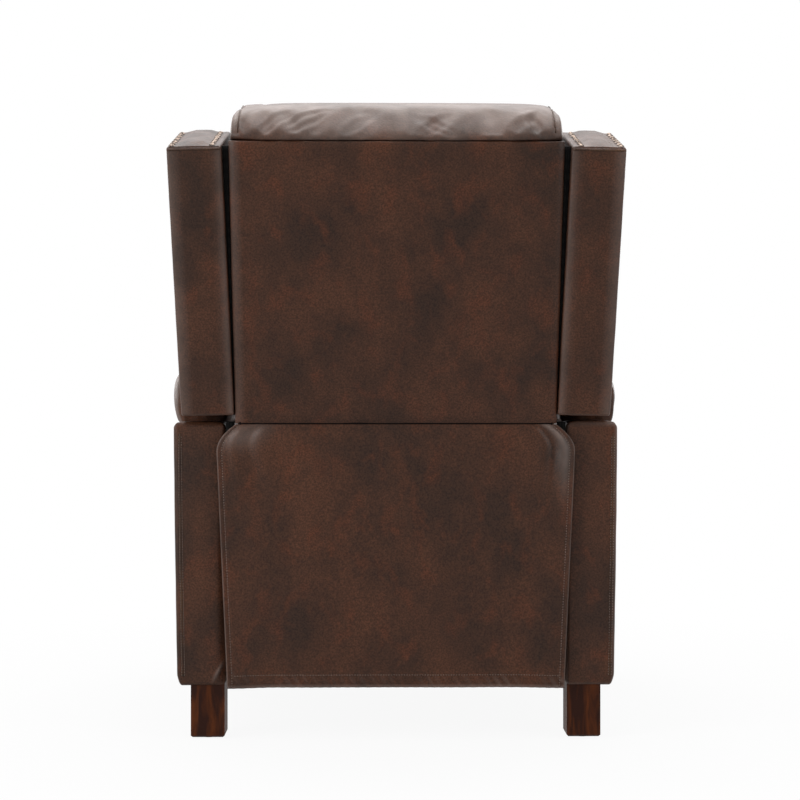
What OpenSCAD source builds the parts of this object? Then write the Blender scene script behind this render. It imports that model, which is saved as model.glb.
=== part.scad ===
// High-leg wing recliner: leather over a wooden frame, with a steel push-back fitting.
// Millimetres, +Z up.  The front faces -Y and the sitter's left side is +X.
// The origin is on the floor, under the middle of the chair.

/* [Overall] */
// Depth from the footrest's front to the top rear edge of the back
chair_depth = 930; // [900:5:970]
// Width for the seat between the arms; a wider back or footrest moves the arms apart
seat_width = 574; // [550:2:600]
// Height of the arm's bottom edge above the floor, which is the leg that shows
leg_height = 93; // [85:1:105]
// Gap between pieces that touch in the real chair
seat_gap = 0.3; // [0.2:0.05:0.4]

/* [Legs] */
// Width and depth of a square leg
leg_width = 57; // [50:1:62]
// Bevel round the foot of a leg
leg_bevel = 3; // [1:0.5:5]
// Distance from the arm's inner face to the leg
leg_side_inset = 2; // [1:0.5:5]
// Distance from the arm's rear face to the rear leg
leg_rear_inset = 4; // [2:0.5:8]
// Distance from the arm cover's front to the front leg
leg_front_inset = 20; // [10:1:30]
// Radius of a glide under a leg
glide_radius = 12; // [9:0.5:16]
// Height of a glide
glide_height = 3; // [2:0.5:5]
// Radius of a leg bolt
leg_bolt_radius = 4; // [3:0.5:5]
// Length of a leg bolt inside the leg
leg_bolt_depth = 45; // [30:1:55]

/* [Arms] */
// Thickness of an arm across the chair
arm_thickness = 88; // [80:1:94]
// Height of the arm's side from its bottom edge to the flat behind the pad
arm_height = 439; // [425:1:450]
// Thickness of the covering over the arm frame
cover_wall = 4; // [3:0.5:5]
// Room for wadding between the frame and the outer covering
side_wadding = 7; // [5:0.5:9]
// Radius of the arm's upright corners
arm_corner = 10; // [6:1:14]
// Setback of the arm's front face from the footrest's front
arm_front_setback = 33; // [28:1:40]
// Thickness of the panel on the front of an arm
arm_front_thickness = 12; // [9:1:16]
// Width of the rolled pad on top of an arm
pad_width = 120; // [112:1:126]
// Distance that the pad's middle lies outside the arm's middle
pad_shift = 5; // [2:1:10]
// Height of the rolled pad
pad_height = 103; // [95:1:112]
// Gap between the rear end of the pad and the wing
pad_rear_gap = 24; // [22:1:34]

/* [Arm frame] */
// Height of the bottom rail
arm_bottom_rail = 40; // [34:1:46]
// Height of the top rail
arm_top_rail = 28; // [22:1:34]
// Depth of the front post
arm_front_post = 60; // [50:1:70]
// Depth of the rear post
arm_rear_post = 76; // [72:1:84]
// Height of the rail in the middle, which carries the steel plate
arm_mid_rail = 66; // [60:1:72]

/* [Back] */
// Lean of the upright back from the vertical, in degrees
rake = 16; // [13:0.5:18]
// Width of the outer back panel
panel_width = 540; // [520:2:544]
// Height of the outer back panel along its slope
panel_height = 469; // [455:1:480]
// Thickness of the outer back panel
panel_thickness = 10; // [8:1:12]
// Gap between the panel's side edge and the wing
panel_side_gap = 1; // [0.6:0.1:2]
// Radius of the panel's rear corners
panel_corner = 8; // [5:1:9]
// Height of the panel's bottom edge above the arm's flat
back_foot_rise = 3; // [2:0.5:6]
// Farthest recline from upright, in degrees
recline_max = 35; // [28:1:36]
// Depth of the back frame's posts
back_post_depth = 46; // [42:1:50]
// Thickness of the back frame's posts across the chair
back_post_width = 32; // [28:1:36]
// Height of the back frame's rails
back_rail_height = 38; // [32:1:44]
// Thickness of the cushion in front of the back frame
back_cushion_depth = 150; // [135:1:160]
// Thickness of the head pillow in front of the back frame
pillow_depth = 166; // [150:1:175]
// Height of the head pillow's front
pillow_drop = 180; // [165:1:195]
// Rise of the head pillow above the panel, along the slope
pillow_rise = 42; // [38:1:48]

/* [Wings] */
// Distance the wing reaches inwards past the arm's inner face
wing_overlap = 16; // [13:1:18]
// Thickness of a wing
wing_thickness = 88; // [82:1:92]
// Gap between the wing's bottom edge and the arm's flat
wing_gap = 14; // [13:0.5:17]
// Depth of the wing at its top
wing_top_depth = 190; // [180:1:200]
// Depth of the wing at its bottom
wing_bottom_depth = 119; // [112:1:124]
// Extra depth of the wing half way up
wing_bulge = 55; // [45:1:60]
// Distance of the wing's top edge below the panel's top, along the slope
wing_top_drop = 8; // [4:1:14]
// Outward lean of the wing, in degrees
wing_flare = 1.3; // [0.6:0.1:1.6]
// Thickness of the wing's covering
wing_wall = 5; // [4:0.5:6]
// Thickness of the wing's board
wing_board = 18; // [15:1:22]
// Radius of a wing bolt
wing_bolt_radius = 4; // [3:0.5:5]

/* [Nails] */
// Radius of a nail head
nail_radius = 5; // [4:0.25:5.5]
// Height of a nail head
nail_height = 2.6; // [2:0.2:3.2]
// Distance between nails along a row
nail_pitch = 22; // [18:1:28]
// Distance from a face's edge to the outer row of nails
nail_outer_inset = 8; // [7:0.5:10]
// Distance from a face's edge to the inner row of nails
nail_inner_inset = 15; // [12:0.5:18]

/* [Steel fitting] */
// Thickness of the steel plates and links
steel = 4; // [3:0.5:5]
// Running gap between two steel layers
layer_gap = 0.5; // [0.4:0.1:0.8]
// Thickness of the wood packing between the plate and the arm
cleat_thickness = 8.5; // [7:0.5:10]
// Distance of the back's pivot in front of the panel's bottom edge
pivot_setback = 60; // [56:1:64]
// Distance of the back's pivot below the arm's flat
pivot_drop = 72; // [68:1:76]
// Distance of the arm's rear face behind the back's pivot
arm_past_pivot = 40; // [38:0.5:41]
// Radius of the back's pivot pin
pivot_radius = 6; // [5:0.5:7]
// Running clearance round a pin
pin_clearance = 0.05; // [0.03:0.01:0.08]
// Radius of the boss round the back's pivot
pivot_boss = 30; // [28:1:34]
// Thickness of the washer between plate and bracket
washer_thickness = 7.5; // [6:0.5:9]
// Radius of a stop pin
stop_radius = 6; // [5:0.5:7]
// Radius of a small screw
screw_radius = 3; // [2.5:0.25:3.5]
// Radius of a small screw's head
screw_head = 5; // [4.5:0.25:6]

/* [Seat] */
// Height of the seat frame's bottom above the arm's bottom edge
seat_rail_rise = 219; // [214:1:224]
// Height of the seat frame's rails
seat_rail_height = 48; // [44:1:54]
// Width of the seat frame's side rails
seat_rail_width = 40; // [34:1:46]
// Thickness of the seat frame's cross rails
seat_cross_rail = 30; // [26:1:34]
// Thickness of the seat cushion at its middle
seat_cushion_height = 118; // [108:1:126]
// Gap between the footrest's board and the seat frame
seat_front_gap = 22; // [18:1:28]
// Setback of the cushion's nose from the footrest's front
nose_setback = 25; // [22:1:32]
// Depth of the seat cushion from nose to rear
seat_cushion_depth = 552; // [530:2:556]
// Gap between the cushion's side and the arm
seat_side_gap = 6; // [4:0.5:9]
// Width and height of the seat's track bar
track_size = 12; // [10:0.5:14]
// Length of the seat's track bar
track_length = 290; // [284:2:300]
// Distance from the steel plate's upright to the rear end of the track
track_setback = 60; // [54:1:64]
// Length of a sliding shoe
shoe_length = 36; // [30:1:40]
// Forward travel of the seat at full recline
seat_travel = 73.3; // [60:0.1:74]

/* [Footrest] */
// Thickness of the footrest's board
board_thickness = 16; // [13:1:19]
// Thickness of the footrest's pad
footrest_pad_depth = 47; // [40:1:50]
// Height of the footrest's pad
footrest_height = 232; // [224:2:238]
// Height of the footrest's bottom above the floor
footrest_clearance = 118; // [116:1:124]
// Width of the footrest's pad
footrest_width = 536; // [520:2:544]
// Gap between the footrest's side and the arm
footrest_side_gap = 19; // [15:1:24]
// Setback of the lower link's pivot from the footrest's front
lower_pivot_setback = 227; // [224:1:230]
// Length of the lower link
lower_link_length = 146; // [142:1:150]
// Length of the upper link
upper_link_length = 227; // [222:1:230]
// Width of a link
link_width = 24; // [20:1:26]
// Radius of a link's rivet
rivet_radius = 5; // [4:0.5:6]
// Radius of a rivet's head
rivet_head = 9; // [8:0.5:10]
// Thickness of a rivet's head
rivet_cap = 3; // [2:0.25:3.5]
// Radius of the tube between the lower links
link_tube_radius = 8; // [6:0.5:10]

/* [Rear flap] */
// Half width of the flap where it leaves the back
flap_top_half = 269; // [262:1:272]
// Half width of the flap just below the arm's flat
flap_full_half = 303; // [298:1:308]
// Half width of the flap at its hem
flap_hem_half = 283; // [276:1:290]
// Height of the hem above the floor
flap_floor_gap = 90; // [84:1:100]
// Thickness of the flap
flap_thickness = 5; // [4:0.5:6]
// Depth of the flap's folds
flap_fold = 3; // [1.5:0.5:3.5]
// Height of the wood strip that the flap is tacked to
tack_strip_height = 22; // [18:1:28]

/* [Hidden] */
$fn = 48;

// One overrun serves every cut
cut = 1;
// Facets on one rounded corner of a soft outline
bend_steps = 4;
// Rings along a soft form
soft_rings = 14;

leather = "#4a3129";
leather_edge = "#5c4136";
wood = "#b08d5e";
espresso = "#3f2618";
metal = "#8b8d90";
brass = "#b99f72";
cloth = "#2e2a28";
nylon = "#d8d5cc";

arm_in = max(
    seat_width/2,
    footrest_width/2 + footrest_side_gap,
    panel_width/2 + panel_side_gap + wing_overlap
);
arm_out = arm_in + arm_thickness;
arm_top = leg_height + arm_height;
front_y = -chair_depth/2;
rear_most_share = 0.21;
back_foot_y = chair_depth/2 - (panel_height + rear_most_share*pillow_rise)*sin(rake);
back_foot_z = arm_top + back_foot_rise;
pivot_y = back_foot_y - pivot_setback;
pivot_z = arm_top - pivot_drop;
arm_rear_y = pivot_y + arm_past_pivot;
arm_front_y = front_y + arm_front_setback;
cover_front_y = arm_front_y + arm_front_thickness;

// The inside of an arm, between its coverings
core_gap = 0.5;
core_in = arm_in + cover_wall + core_gap;
core_out = arm_out - cover_wall - side_wadding;
core_rear = arm_rear_y - cover_wall - core_gap;
core_top = arm_top - cover_wall - core_gap;

leg_x = arm_in + leg_side_inset;
rear_leg_y = arm_rear_y - leg_rear_inset - leg_width;
front_leg_y = cover_front_y + leg_front_inset;

// Layers of the fitting, counted inwards from the arm's inner face
plate_out = arm_in - cleat_thickness;
plate_in = plate_out - steel;
track_in = plate_in - track_size;
foot_bracket_out = track_in - layer_gap/2;
foot_bracket_in = foot_bracket_out - steel;
upper_link_out = foot_bracket_in - layer_gap;
upper_link_in = upper_link_out - steel;
lower_link_out = upper_link_in - layer_gap;
lower_link_in = lower_link_out - steel;
carriage_out = lower_link_in - layer_gap;
carriage_in = carriage_out - steel;
seat_half = carriage_in;

// The steel plate's outline
seat_rail_z = leg_height + seat_rail_rise;
plate_low = seat_rail_z - 0.45*seat_rail_height;
plate_high = plate_low + arm_mid_rail;
plate_rear_y = pivot_y + pivot_boss;
plate_post_y = pivot_y - 1.5*pivot_boss;
track_z = (plate_low + plate_high)/2;
track_rear_y = plate_post_y - track_setback;
track_front_y = track_rear_y - track_length;
plate_front_y = track_front_y - screw_head;
screw_low_z = plate_low + 1.6*screw_head;
screw_high_z = plate_high - 1.6*screw_head;

// The back frame and what hangs on it, in the back's own leaning frame
back_half = plate_in - washer_thickness - steel - seat_gap;
post_rear = -panel_thickness - core_gap;
post_front = post_rear - back_post_depth;
spring_wire = 3.5;
cushion_rear = post_front - spring_wire - 2*seat_gap;
pivot_local_y = -pivot_setback*cos(rake) + (pivot_drop + back_foot_rise)*sin(rake);
pivot_local_z = -pivot_setback*sin(rake) - (pivot_drop + back_foot_rise)*cos(rake);
pivot_local = [pivot_local_y, pivot_local_z];
tail_length = 36;
tail_half = 13;
post_foot = pivot_local_z - tail_length;
post_head = panel_height - back_rail_height/2 - wing_top_drop;
bracket_in = back_half + seat_gap;
bracket_out = bracket_in + steel;
bracket_head = post_foot + 4*back_rail_height;
stop_reach = tail_length - 1.3*stop_radius;
pin_head_radius = 10;
pin_head_height = 3.5;

wing_in = arm_in - wing_overlap;
wing_middle = wing_in + wing_thickness/2;
wing_edge_z = panel_height - wing_top_drop;
wing_foot_rear = (wing_gap - back_foot_rise)/cos(rake);
wing_foot_front = wing_foot_rear - wing_bottom_depth*tan(rake);
wing_steps = 16;
wing_block = 40;
wing_hole_play = 1.2;
wing_bolt_height_shares = [0.14, 0.46, 0.80];
wing_bolt_y = post_front + back_post_depth/2;

// The seat
nose_y = front_y + nose_setback;
cushion_rear_y = nose_y + seat_cushion_depth;
seat_front_y = front_y + footrest_pad_depth + board_thickness + seat_front_gap;
seat_rear_y = track_rear_y;
seat_mid_y = seat_rear_y - 5*seat_cross_rail;
seat_rail_top = seat_rail_z + seat_rail_height;
deck_thickness = 2;
deck_z = seat_rail_top + spring_wire + 2*seat_gap;
cushion_z = deck_z + deck_thickness + seat_gap;
cushion_half = seat_width/2 - seat_side_gap;
band_thickness = 4;
shoe_wall = 8;
shoe_rear_y = track_rear_y - 0.5*shoe_length;
shoe_front_y = track_front_y + seat_travel + shoe_length/2;

// The footrest's links at rest: angles are upwards from straight ahead
lower_rest_angle = -125;
upper_rest_angle = 17;
lower_pivot = [front_y + lower_pivot_setback, seat_rail_z - 1.2*rivet_head];
elbow = ahead(lower_pivot, lower_link_length, lower_rest_angle);
foot_pivot = ahead(elbow, upper_link_length, upper_rest_angle);
tube_share = 0.62;
link_tube = ahead(lower_pivot, tube_share*lower_link_length, lower_rest_angle);
board_rear_y = front_y + footrest_pad_depth + board_thickness;
board_inset = 4;

flap_y = back_foot_y;
flap_hinge_z = back_foot_z - flap_thickness;
flap_columns = 24;
flap_rows = 12;
flap_flare = 55;

bar_radius = 8;
bar_y = plate_rear_y - 2*pivot_boss - 2.6*bar_radius;
bar_z = plate_low + 1.2*bar_radius;
spring_radius = 6.5;
spring_wall = 2;
spring_x = 0.42*arm_in;
tab_y = seat_mid_y;

// Point reached from p by going len at an angle upwards from straight ahead
function ahead(p, len, angle) = [p[0] - len*cos(angle), p[1] + len*sin(angle)];

// Place in the chair of a point [y, z] of the back's leaning frame
function from_back(y, z) = [
    back_foot_y + y*cos(rake) + z*sin(rake),
    back_foot_z - y*sin(rake) + z*cos(rake)
];

// Point of the back's tail, turned by angle about the pivot, in the chair
function from_tail(y, z, angle) = [
    pivot_y + y*cos(rake + angle) + z*sin(rake + angle),
    pivot_z - y*sin(rake + angle) + z*cos(rake + angle)
];

// Place along X, before a wing leans, of a point that comes to x at height z
function before_lean(x, z) = wing_middle + (x - wing_middle - z*sin(wing_flare))/cos(wing_flare);

function unit(v) = v/norm(v);
function mix(a, b, t) = a*(1 - t) + b*t;
function quad(a, c, b, t) = mix(mix(a, c, t), mix(c, b, t), t);

// Outline through corners [x, y, reach], each one bent over its reach
function rounded(corners) = [
    for (i = [0 : len(corners) - 1])
        let (n = len(corners), c = corners[i], p = corners[(i + n - 1)%n], q = corners[(i + 1)%n])
        let (at = [c[0], c[1]], back = unit([p[0], p[1]] - at), on = unit([q[0], q[1]] - at))
        for (k = [0 : bend_steps]) quad(at + back*c[2], at, at + on*c[2], k/bend_steps)
];

function clamped(v, low, high) = min(max(v, low), high);

// Nearest point to p in the box that a soft form shrinks towards at its ends
function core_point(p, low, high) = [clamped(p[0], low[0], high[0]), clamped(p[1], low[1], high[1])];

// Share of full thickness at turn t, from one end at -90 to the other at 90 degrees
function swell(t, end_share) = end_share + (1 - end_share)*pow(max(cos(t), 0), 0.4);

// Closed soft form along X: its outline runs counterclockwise in the YZ plane
module soft_form(outline, low, high, half_width, end_share, hub) {
    n = len(outline);
    rings = [
        for (j = [0 : soft_rings])
            let (t = -90 + 180*j/soft_rings, s = swell(t, end_share))
            for (p = outline)
                let (c = core_point(p, low, high))
                [half_width*sin(t), c[0] + (p[0] - c[0])*s, c[1] + (p[1] - c[1])*s]
    ];
    ends = [[-half_width, hub[0], hub[1]], [half_width, hub[0], hub[1]]];
    side = [
        for (j = [0 : soft_rings - 1]) for (i = [0 : n - 1])
            let (a = j*n + i, b = j*n + (i + 1)%n)
            each [[a, a + n, b + n], [a, b + n, b]]
    ];
    m = len(rings);
    caps = [
        for (i = [0 : n - 1])
            let (k = (i + 1)%n)
            each [[m, i, k], [m + 1, soft_rings*n + k, soft_rings*n + i]]
    ];
    polyhedron(concat(rings, ends), concat(side, caps), convexity = 6);
}

// Flat outline in the YZ plane, extruded along +X from x
module slab_x(x, thickness) {
    translate([x, 0, 0]) rotate([90, 0, 90]) linear_extrude(thickness) children();
}

// Flat outline in the XZ plane, extruded along +Y from y
module slab_y(y, thickness) {
    translate([0, y + thickness, 0]) rotate([90, 0, 0]) linear_extrude(thickness) children();
}

// Block from one corner to the other
module block(a, b) {
    translate(a) cube(b - a);
}

// Round bar along X
module bar_x(x0, x1, at, r) {
    translate([x0, at[0], at[1]]) rotate([0, 90, 0]) cylinder(h = x1 - x0, r = r);
}

// Rectangle with round corners from one corner to the other
module round_rect(a, b, r) {
    translate([a[0] + r, a[1]]) square([b[0] - a[0] - 2*r, b[1] - a[1]]);
    translate([a[0], a[1] + r]) square([b[0] - a[0], b[1] - a[1] - 2*r]);
    for (x = [a[0] + r, b[0] - r], y = [a[1] + r, b[1] - r]) translate([x, y]) circle(r);
}

module other_side() {
    mirror([1, 0, 0]) children();
}

module both_sides() {
    children();
    other_side() children();
}

module on_back() {
    translate([0, back_foot_y, back_foot_z]) rotate([-rake, 0, 0]) children();
}

// Leans a wing outwards about the middle of its foot
module lean_out() {
    translate([wing_middle, 0, 0]) rotate([0, wing_flare, 0]) translate([-wing_middle, 0, 0]) children();
}

module on_wing() {
    on_back() lean_out() children();
}

// Strip that winds to and fro along its length, in the XY plane
module winding(length, loops, half, wire) {
    steps = 8*loops;
    path = [for (k = [0 : steps]) [length*k/steps, half*sin(360*loops*k/steps)]];
    outline = concat([for (p = path) p + [0, wire/2]], [for (k = [steps : -1 : 0]) path[k] - [0, wire/2]]);
    linear_extrude(wire) polygon(outline);
}

// Arms

module arm_frame_rails() {
    block([core_in, cover_front_y, leg_height], [core_out, core_rear, leg_height + arm_bottom_rail]);
    block([core_in, cover_front_y, core_top - arm_top_rail], [core_out, core_rear, core_top]);
    block([core_in, cover_front_y, leg_height], [core_out, cover_front_y + arm_front_post, core_top]);
    block([core_in, core_rear - arm_rear_post, leg_height], [core_out, core_rear, core_top]);
    block([core_in, cover_front_y, plate_low], [core_out, core_rear, plate_high]);
}

module arm_frame() {
    color(wood) difference() {
        arm_frame_rails();
        for (y = [front_leg_y, rear_leg_y]) leg_bolt_hole(y);
        plate_screw_holes(core_in - cut, core_in + 6*screw_radius);
    }
}

module leg_bolt_hole(y) {
    head = 3*leg_bolt_radius;
    translate([leg_x + leg_width/2, y + leg_width/2, leg_height - cut]) {
        cylinder(h = arm_bottom_rail + 2*cut, r = leg_bolt_radius + seat_gap);
        translate([0, 0, arm_bottom_rail - head + cut]) cylinder(h = head + 2*cut, r = 2.5*leg_bolt_radius);
    }
}

module arm_cover() {
    color(leather) difference() {
        translate([0, 0, leg_height]) linear_extrude(arm_height) difference() {
            round_rect([arm_in, cover_front_y - 2*arm_corner], [arm_out, arm_rear_y], arm_corner);
            translate([arm_in - cut, cover_front_y - 3*arm_corner])
                square([arm_thickness + 2*cut, 3*arm_corner + seat_gap]);
        }
        block(
            [arm_in + cover_wall, cover_front_y - cut, leg_height - cut],
            [arm_out - cover_wall, arm_rear_y - cover_wall, arm_top - cover_wall]
        );
        plate_screw_holes(arm_in - cut, core_in);
    }
}

pad_x = arm_in + arm_thickness/2 + pad_shift;
pad_z = arm_top + pad_height/2;
pad_rear_y = from_back(-wing_bottom_depth, wing_foot_front)[0] - pad_rear_gap;

module arm_pad() {
    half = pad_width/2;
    low = arm_top + seat_gap;
    high = arm_top + pad_height;
    // The outline lies across the arm and is swept from front to rear
    outline = rounded([
        [-0.80*half, low, 0.10*half], [0.80*half, low, 0.10*half], [half, low + 0.35*pad_height, 0.4*half],
        [0.93*half, high - 0.12*pad_height, 0.5*half], [0, high + 0.03*pad_height, 0.6*half],
        [-0.93*half, high - 0.12*pad_height, 0.5*half], [-half, low + 0.35*pad_height, 0.4*half]
    ]);
    y0 = cover_front_y + seat_gap;
    color(leather) translate([pad_x, (y0 + pad_rear_y)/2, 0]) rotate([0, 0, 90])
        soft_form(outline, [-0.5*half, low], [0.5*half, pad_z], (pad_rear_y - y0)/2, 0.80, [0, pad_z]);
}

module arm_front_outline() {
    translate([arm_in, leg_height]) square([arm_thickness, arm_height]);
    translate([pad_x, pad_z]) circle(pad_width/2);
}

module arm_front() {
    color(leather_edge) slab_y(arm_front_y, arm_front_thickness) arm_front_outline();
}

// Nails

module nail() {
    dome = (nail_radius*nail_radius + nail_height*nail_height)/(2*nail_height);
    color(brass) rotate_extrude() intersection() {
        translate([0, nail_height - dome]) circle(dome);
        square([nail_radius, nail_height]);
    }
}

module arm_nail_rows() {
    y = arm_front_y - seat_gap;
    low = leg_height + 2*nail_pitch;
    count = floor((arm_top - low)/nail_pitch);
    for (x = [arm_in + nail_outer_inset, arm_out - nail_outer_inset], k = [0 : count - 1])
        translate([x, y, low + k*nail_pitch]) rotate([90, 0, 0]) nail();
    ring = pad_width/2 - nail_outer_inset;
    turns = floor(ring*250/nail_pitch*PI/180);
    for (k = [0 : turns])
        translate([pad_x + ring*cos(-35 + 250*k/turns), y, pad_z + ring*sin(-35 + 250*k/turns)])
            rotate([90, 0, 0]) nail();
}

module arm_nails() {
    both_sides() arm_nail_rows();
}

// Legs and stretchers

module leg(y) {
    color(espresso) difference() {
        translate([leg_x, y, glide_height]) hull() {
            translate([leg_bevel, leg_bevel])
                cube([leg_width - 2*leg_bevel, leg_width - 2*leg_bevel, leg_bevel]);
            translate([0, 0, leg_bevel]) cube([leg_width, leg_width, leg_height - glide_height - leg_bevel]);
        }
        translate([leg_x + leg_width/2, y + leg_width/2, leg_height - leg_bolt_depth])
            cylinder(h = leg_bolt_depth + cut, r = leg_bolt_radius + seat_gap);
    }
}

module leg_bolts() {
    shank = leg_bolt_depth + arm_bottom_rail - 3*leg_bolt_radius - seat_gap;
    color(metal) both_sides() for (y = [front_leg_y, rear_leg_y])
        translate([leg_x + leg_width/2, y + leg_width/2, leg_height - leg_bolt_depth + seat_gap]) {
            cylinder(h = shank, r = leg_bolt_radius);
            translate([0, 0, shank]) cylinder(h = 1.5*leg_bolt_radius, r = 2*leg_bolt_radius);
        }
}

module leg_glides() {
    color(cloth) both_sides() for (y = [front_leg_y, rear_leg_y])
        translate([leg_x + leg_width/2, y + leg_width/2, 0]) cylinder(h = glide_height, r = glide_radius);
}

stretcher_thickness = 24;
front_stretcher_y = lower_pivot[0] + stretcher_thickness;
rear_stretcher_y = plate_rear_y - 1.6*stretcher_thickness;
dust_thickness = 1.5;

module stretcher(y, height) {
    color(wood) block(
        [-arm_in + seat_gap, y, leg_height + dust_thickness + seat_gap],
        [arm_in - seat_gap, y + stretcher_thickness, leg_height + height]
    );
}

module front_stretcher() {
    stretcher(front_stretcher_y, 1.5*stretcher_thickness);
}

module rear_stretcher() {
    stretcher(rear_stretcher_y, 3*stretcher_thickness);
}

module dust_cover() {
    color(cloth) block(
        [-arm_in + seat_gap, front_stretcher_y, leg_height],
        [arm_in - seat_gap, rear_stretcher_y + stretcher_thickness, leg_height + dust_thickness]
    );
}

// Steel fitting on the arms

module plate_outline(pin_hole) {
    difference() {
        union() {
            translate([plate_front_y, plate_low]) square([plate_rear_y - plate_front_y, arm_mid_rail]);
            translate([plate_post_y, plate_low]) square([plate_rear_y - plate_post_y, pivot_z - plate_low]);
            translate([pivot_y, pivot_z]) circle(pivot_boss);
        }
        translate([pivot_y, pivot_z]) circle(pin_hole);
        for (at = plate_screw_places) translate(at) circle(screw_radius + pin_clearance);
    }
}

plate_screw_places = [
    [plate_front_y + 3*screw_head, screw_low_z], [plate_front_y + 3*screw_head, screw_high_z],
    [plate_post_y - 9*screw_head, screw_low_z], [plate_post_y - 9*screw_head, screw_high_z],
    [plate_rear_y - 2*screw_head, screw_low_z], [pivot_y, pivot_z - 1.6*pivot_boss]
];

module plate_screw_holes(x0, x1) {
    for (at = plate_screw_places) bar_x(x0, x1, at, screw_radius + pin_clearance);
}

module side_plate() {
    color(metal) slab_x(plate_in, steel) plate_outline(pivot_radius + pin_clearance);
}

module plate_cleat() {
    color(wood) slab_x(plate_out + seat_gap/2, cleat_thickness - seat_gap)
        plate_outline(pivot_radius + pin_clearance);
}

module plate_screws() {
    color(metal) both_sides() for (at = plate_screw_places) {
        bar_x(plate_in - seat_gap, core_in + 5*screw_radius, at, screw_radius);
        bar_x(plate_in - seat_gap - screw_radius/2, plate_in - seat_gap, at, screw_head);
    }
}

module seat_tracks() {
    color(metal) both_sides() block(
        [track_in, track_front_y, track_z - track_size/2],
        [plate_in, track_rear_y, track_z + track_size/2]
    );
}

module back_pivot_pins() {
    head_out = bracket_in - seat_gap;
    color(metal) both_sides() {
        bar_x(head_out, arm_in - seat_gap, [pivot_y, pivot_z], pivot_radius);
        bar_x(head_out - pin_head_height, head_out, [pivot_y, pivot_z], pin_head_radius);
    }
}

module pivot_washers() {
    color(nylon) both_sides() difference() {
        bar_x(bracket_out + seat_gap/2, plate_in - seat_gap/2, [pivot_y, pivot_z], 1.15*tail_half);
        bar_x(bracket_in, plate_out, [pivot_y, pivot_z], pivot_radius + pin_clearance);
    }
}

// Pins that the back's tail meets when it is upright and when it is fully reclined
upright_stop = from_tail(tail_half + stop_radius + seat_gap, -stop_reach, 0);
recline_stop = from_tail(-tail_half - stop_radius - 2*seat_gap, -stop_reach, recline_max);

module back_stops() {
    color(cloth) both_sides() for (at = [upright_stop, recline_stop])
        bar_x(back_half + seat_gap, plate_in, at, stop_radius);
}

module rear_cross_bar() {
    color(metal) bar_x(-plate_in + seat_gap/2, plate_in - seat_gap/2, [bar_y, bar_z], bar_radius);
}

module return_springs() {
    y0 = tab_y + steel + seat_gap;
    y1 = bar_y - bar_radius - seat_gap;
    color(metal) for (x = [-spring_x, spring_x]) translate([x, y1, bar_z]) rotate([90, 0, 0]) difference() {
        cylinder(h = y1 - y0, r = spring_radius);
        translate([0, 0, -cut]) cylinder(h = y1 - y0 + 2*cut, r = spring_radius - spring_wall);
    }
}

// Back

module back_frame() {
    color(wood) on_back() difference() {
        union() {
            both_sides() block(
                [back_half - back_post_width, post_front, post_foot], [back_half, post_rear, post_head]
            );
            for (z = [0, post_head - back_rail_height]) block(
                [-back_half, post_front, z], [back_half, post_rear, z + back_rail_height]
            );
        }
        both_sides() {
            bar_x(back_half - 4*pin_head_height, back_half + cut, pivot_local, 1.3*pin_head_radius);
            bracket_screw_holes(back_half - 6*screw_radius, back_half + cut);
            lean_out() for (z = wing_bolt_heights()) bar_x(
                back_half - 2*back_post_width, back_half + wing_block, [wing_bolt_y, z],
                wing_bolt_radius + wing_hole_play
            );
        }
    }
}

function wing_bolt_heights() = [for (s = wing_bolt_height_shares) s*wing_edge_z];

bracket_screw_z = [
    pivot_local_z + 1.5*pin_head_radius + 2*screw_head,
    bracket_head - 3*screw_head
];

module bracket_screw_holes(x0, x1) {
    for (z = bracket_screw_z) bar_x(x0, x1, [pivot_local_y, z], screw_radius + pin_clearance);
}

module back_brackets() {
    color(metal) on_back() both_sides() difference() {
        slab_x(bracket_in, steel) union() {
            translate([pivot_local_y - tail_half, post_foot])
                square([2*tail_half, bracket_head - post_foot]);
            translate(pivot_local) circle(1.2*tail_half);
        }
        bar_x(bracket_in - cut, bracket_out + cut, pivot_local, pivot_radius + pin_clearance);
        bracket_screw_holes(bracket_in - cut, bracket_out + cut);
    }
}

module bracket_screws() {
    color(metal) on_back() both_sides() for (z = bracket_screw_z) {
        head_in = bracket_out + seat_gap;
        bar_x(back_half - 5*screw_radius, head_in, [pivot_local_y, z], screw_radius);
        bar_x(head_in, head_in + screw_radius/2, [pivot_local_y, z], screw_head);
    }
}

module back_springs() {
    rows = 5;
    length = 2*back_half - back_post_width;
    color(metal) on_back() for (k = [1 : rows])
        translate([-length/2, post_front - seat_gap, k*post_head/(rows + 0.7)])
            rotate([90, 0, 0]) winding(length, 9, back_rail_height/2, spring_wire);
}

module outer_back_panel() {
    color(leather) on_back() linear_extrude(panel_height) difference() {
        round_rect([-panel_width/2, -2*panel_thickness], [panel_width/2, 0], panel_corner);
        translate([-panel_width, -3*panel_thickness]) square([2*panel_width, 2*panel_thickness]);
    }
}

module back_cushion() {
    rear = cushion_rear;
    front = rear - back_cushion_depth;
    low = pivot_local_z - 2*tail_half;
    high = panel_height - pillow_drop - seat_gap;
    d = back_cushion_depth;
    outline = rounded([
        [rear, low, 0.1*d], [rear, high, 0.06*d], [front + 0.10*d, high, 0.25*d],
        [front - 0.04*d, mix(low, high, 0.55), 0.9*d], [front + 0.06*d, low, 0.28*d]
    ]);
    mid = (rear + front)/2;
    color(leather) on_back() soft_form(
        outline, [rear - 0.05*d, low + 0.4*d], [rear, high - 0.4*d], back_half, 0.72, [mid, (low + high)/2]
    );
}

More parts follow.
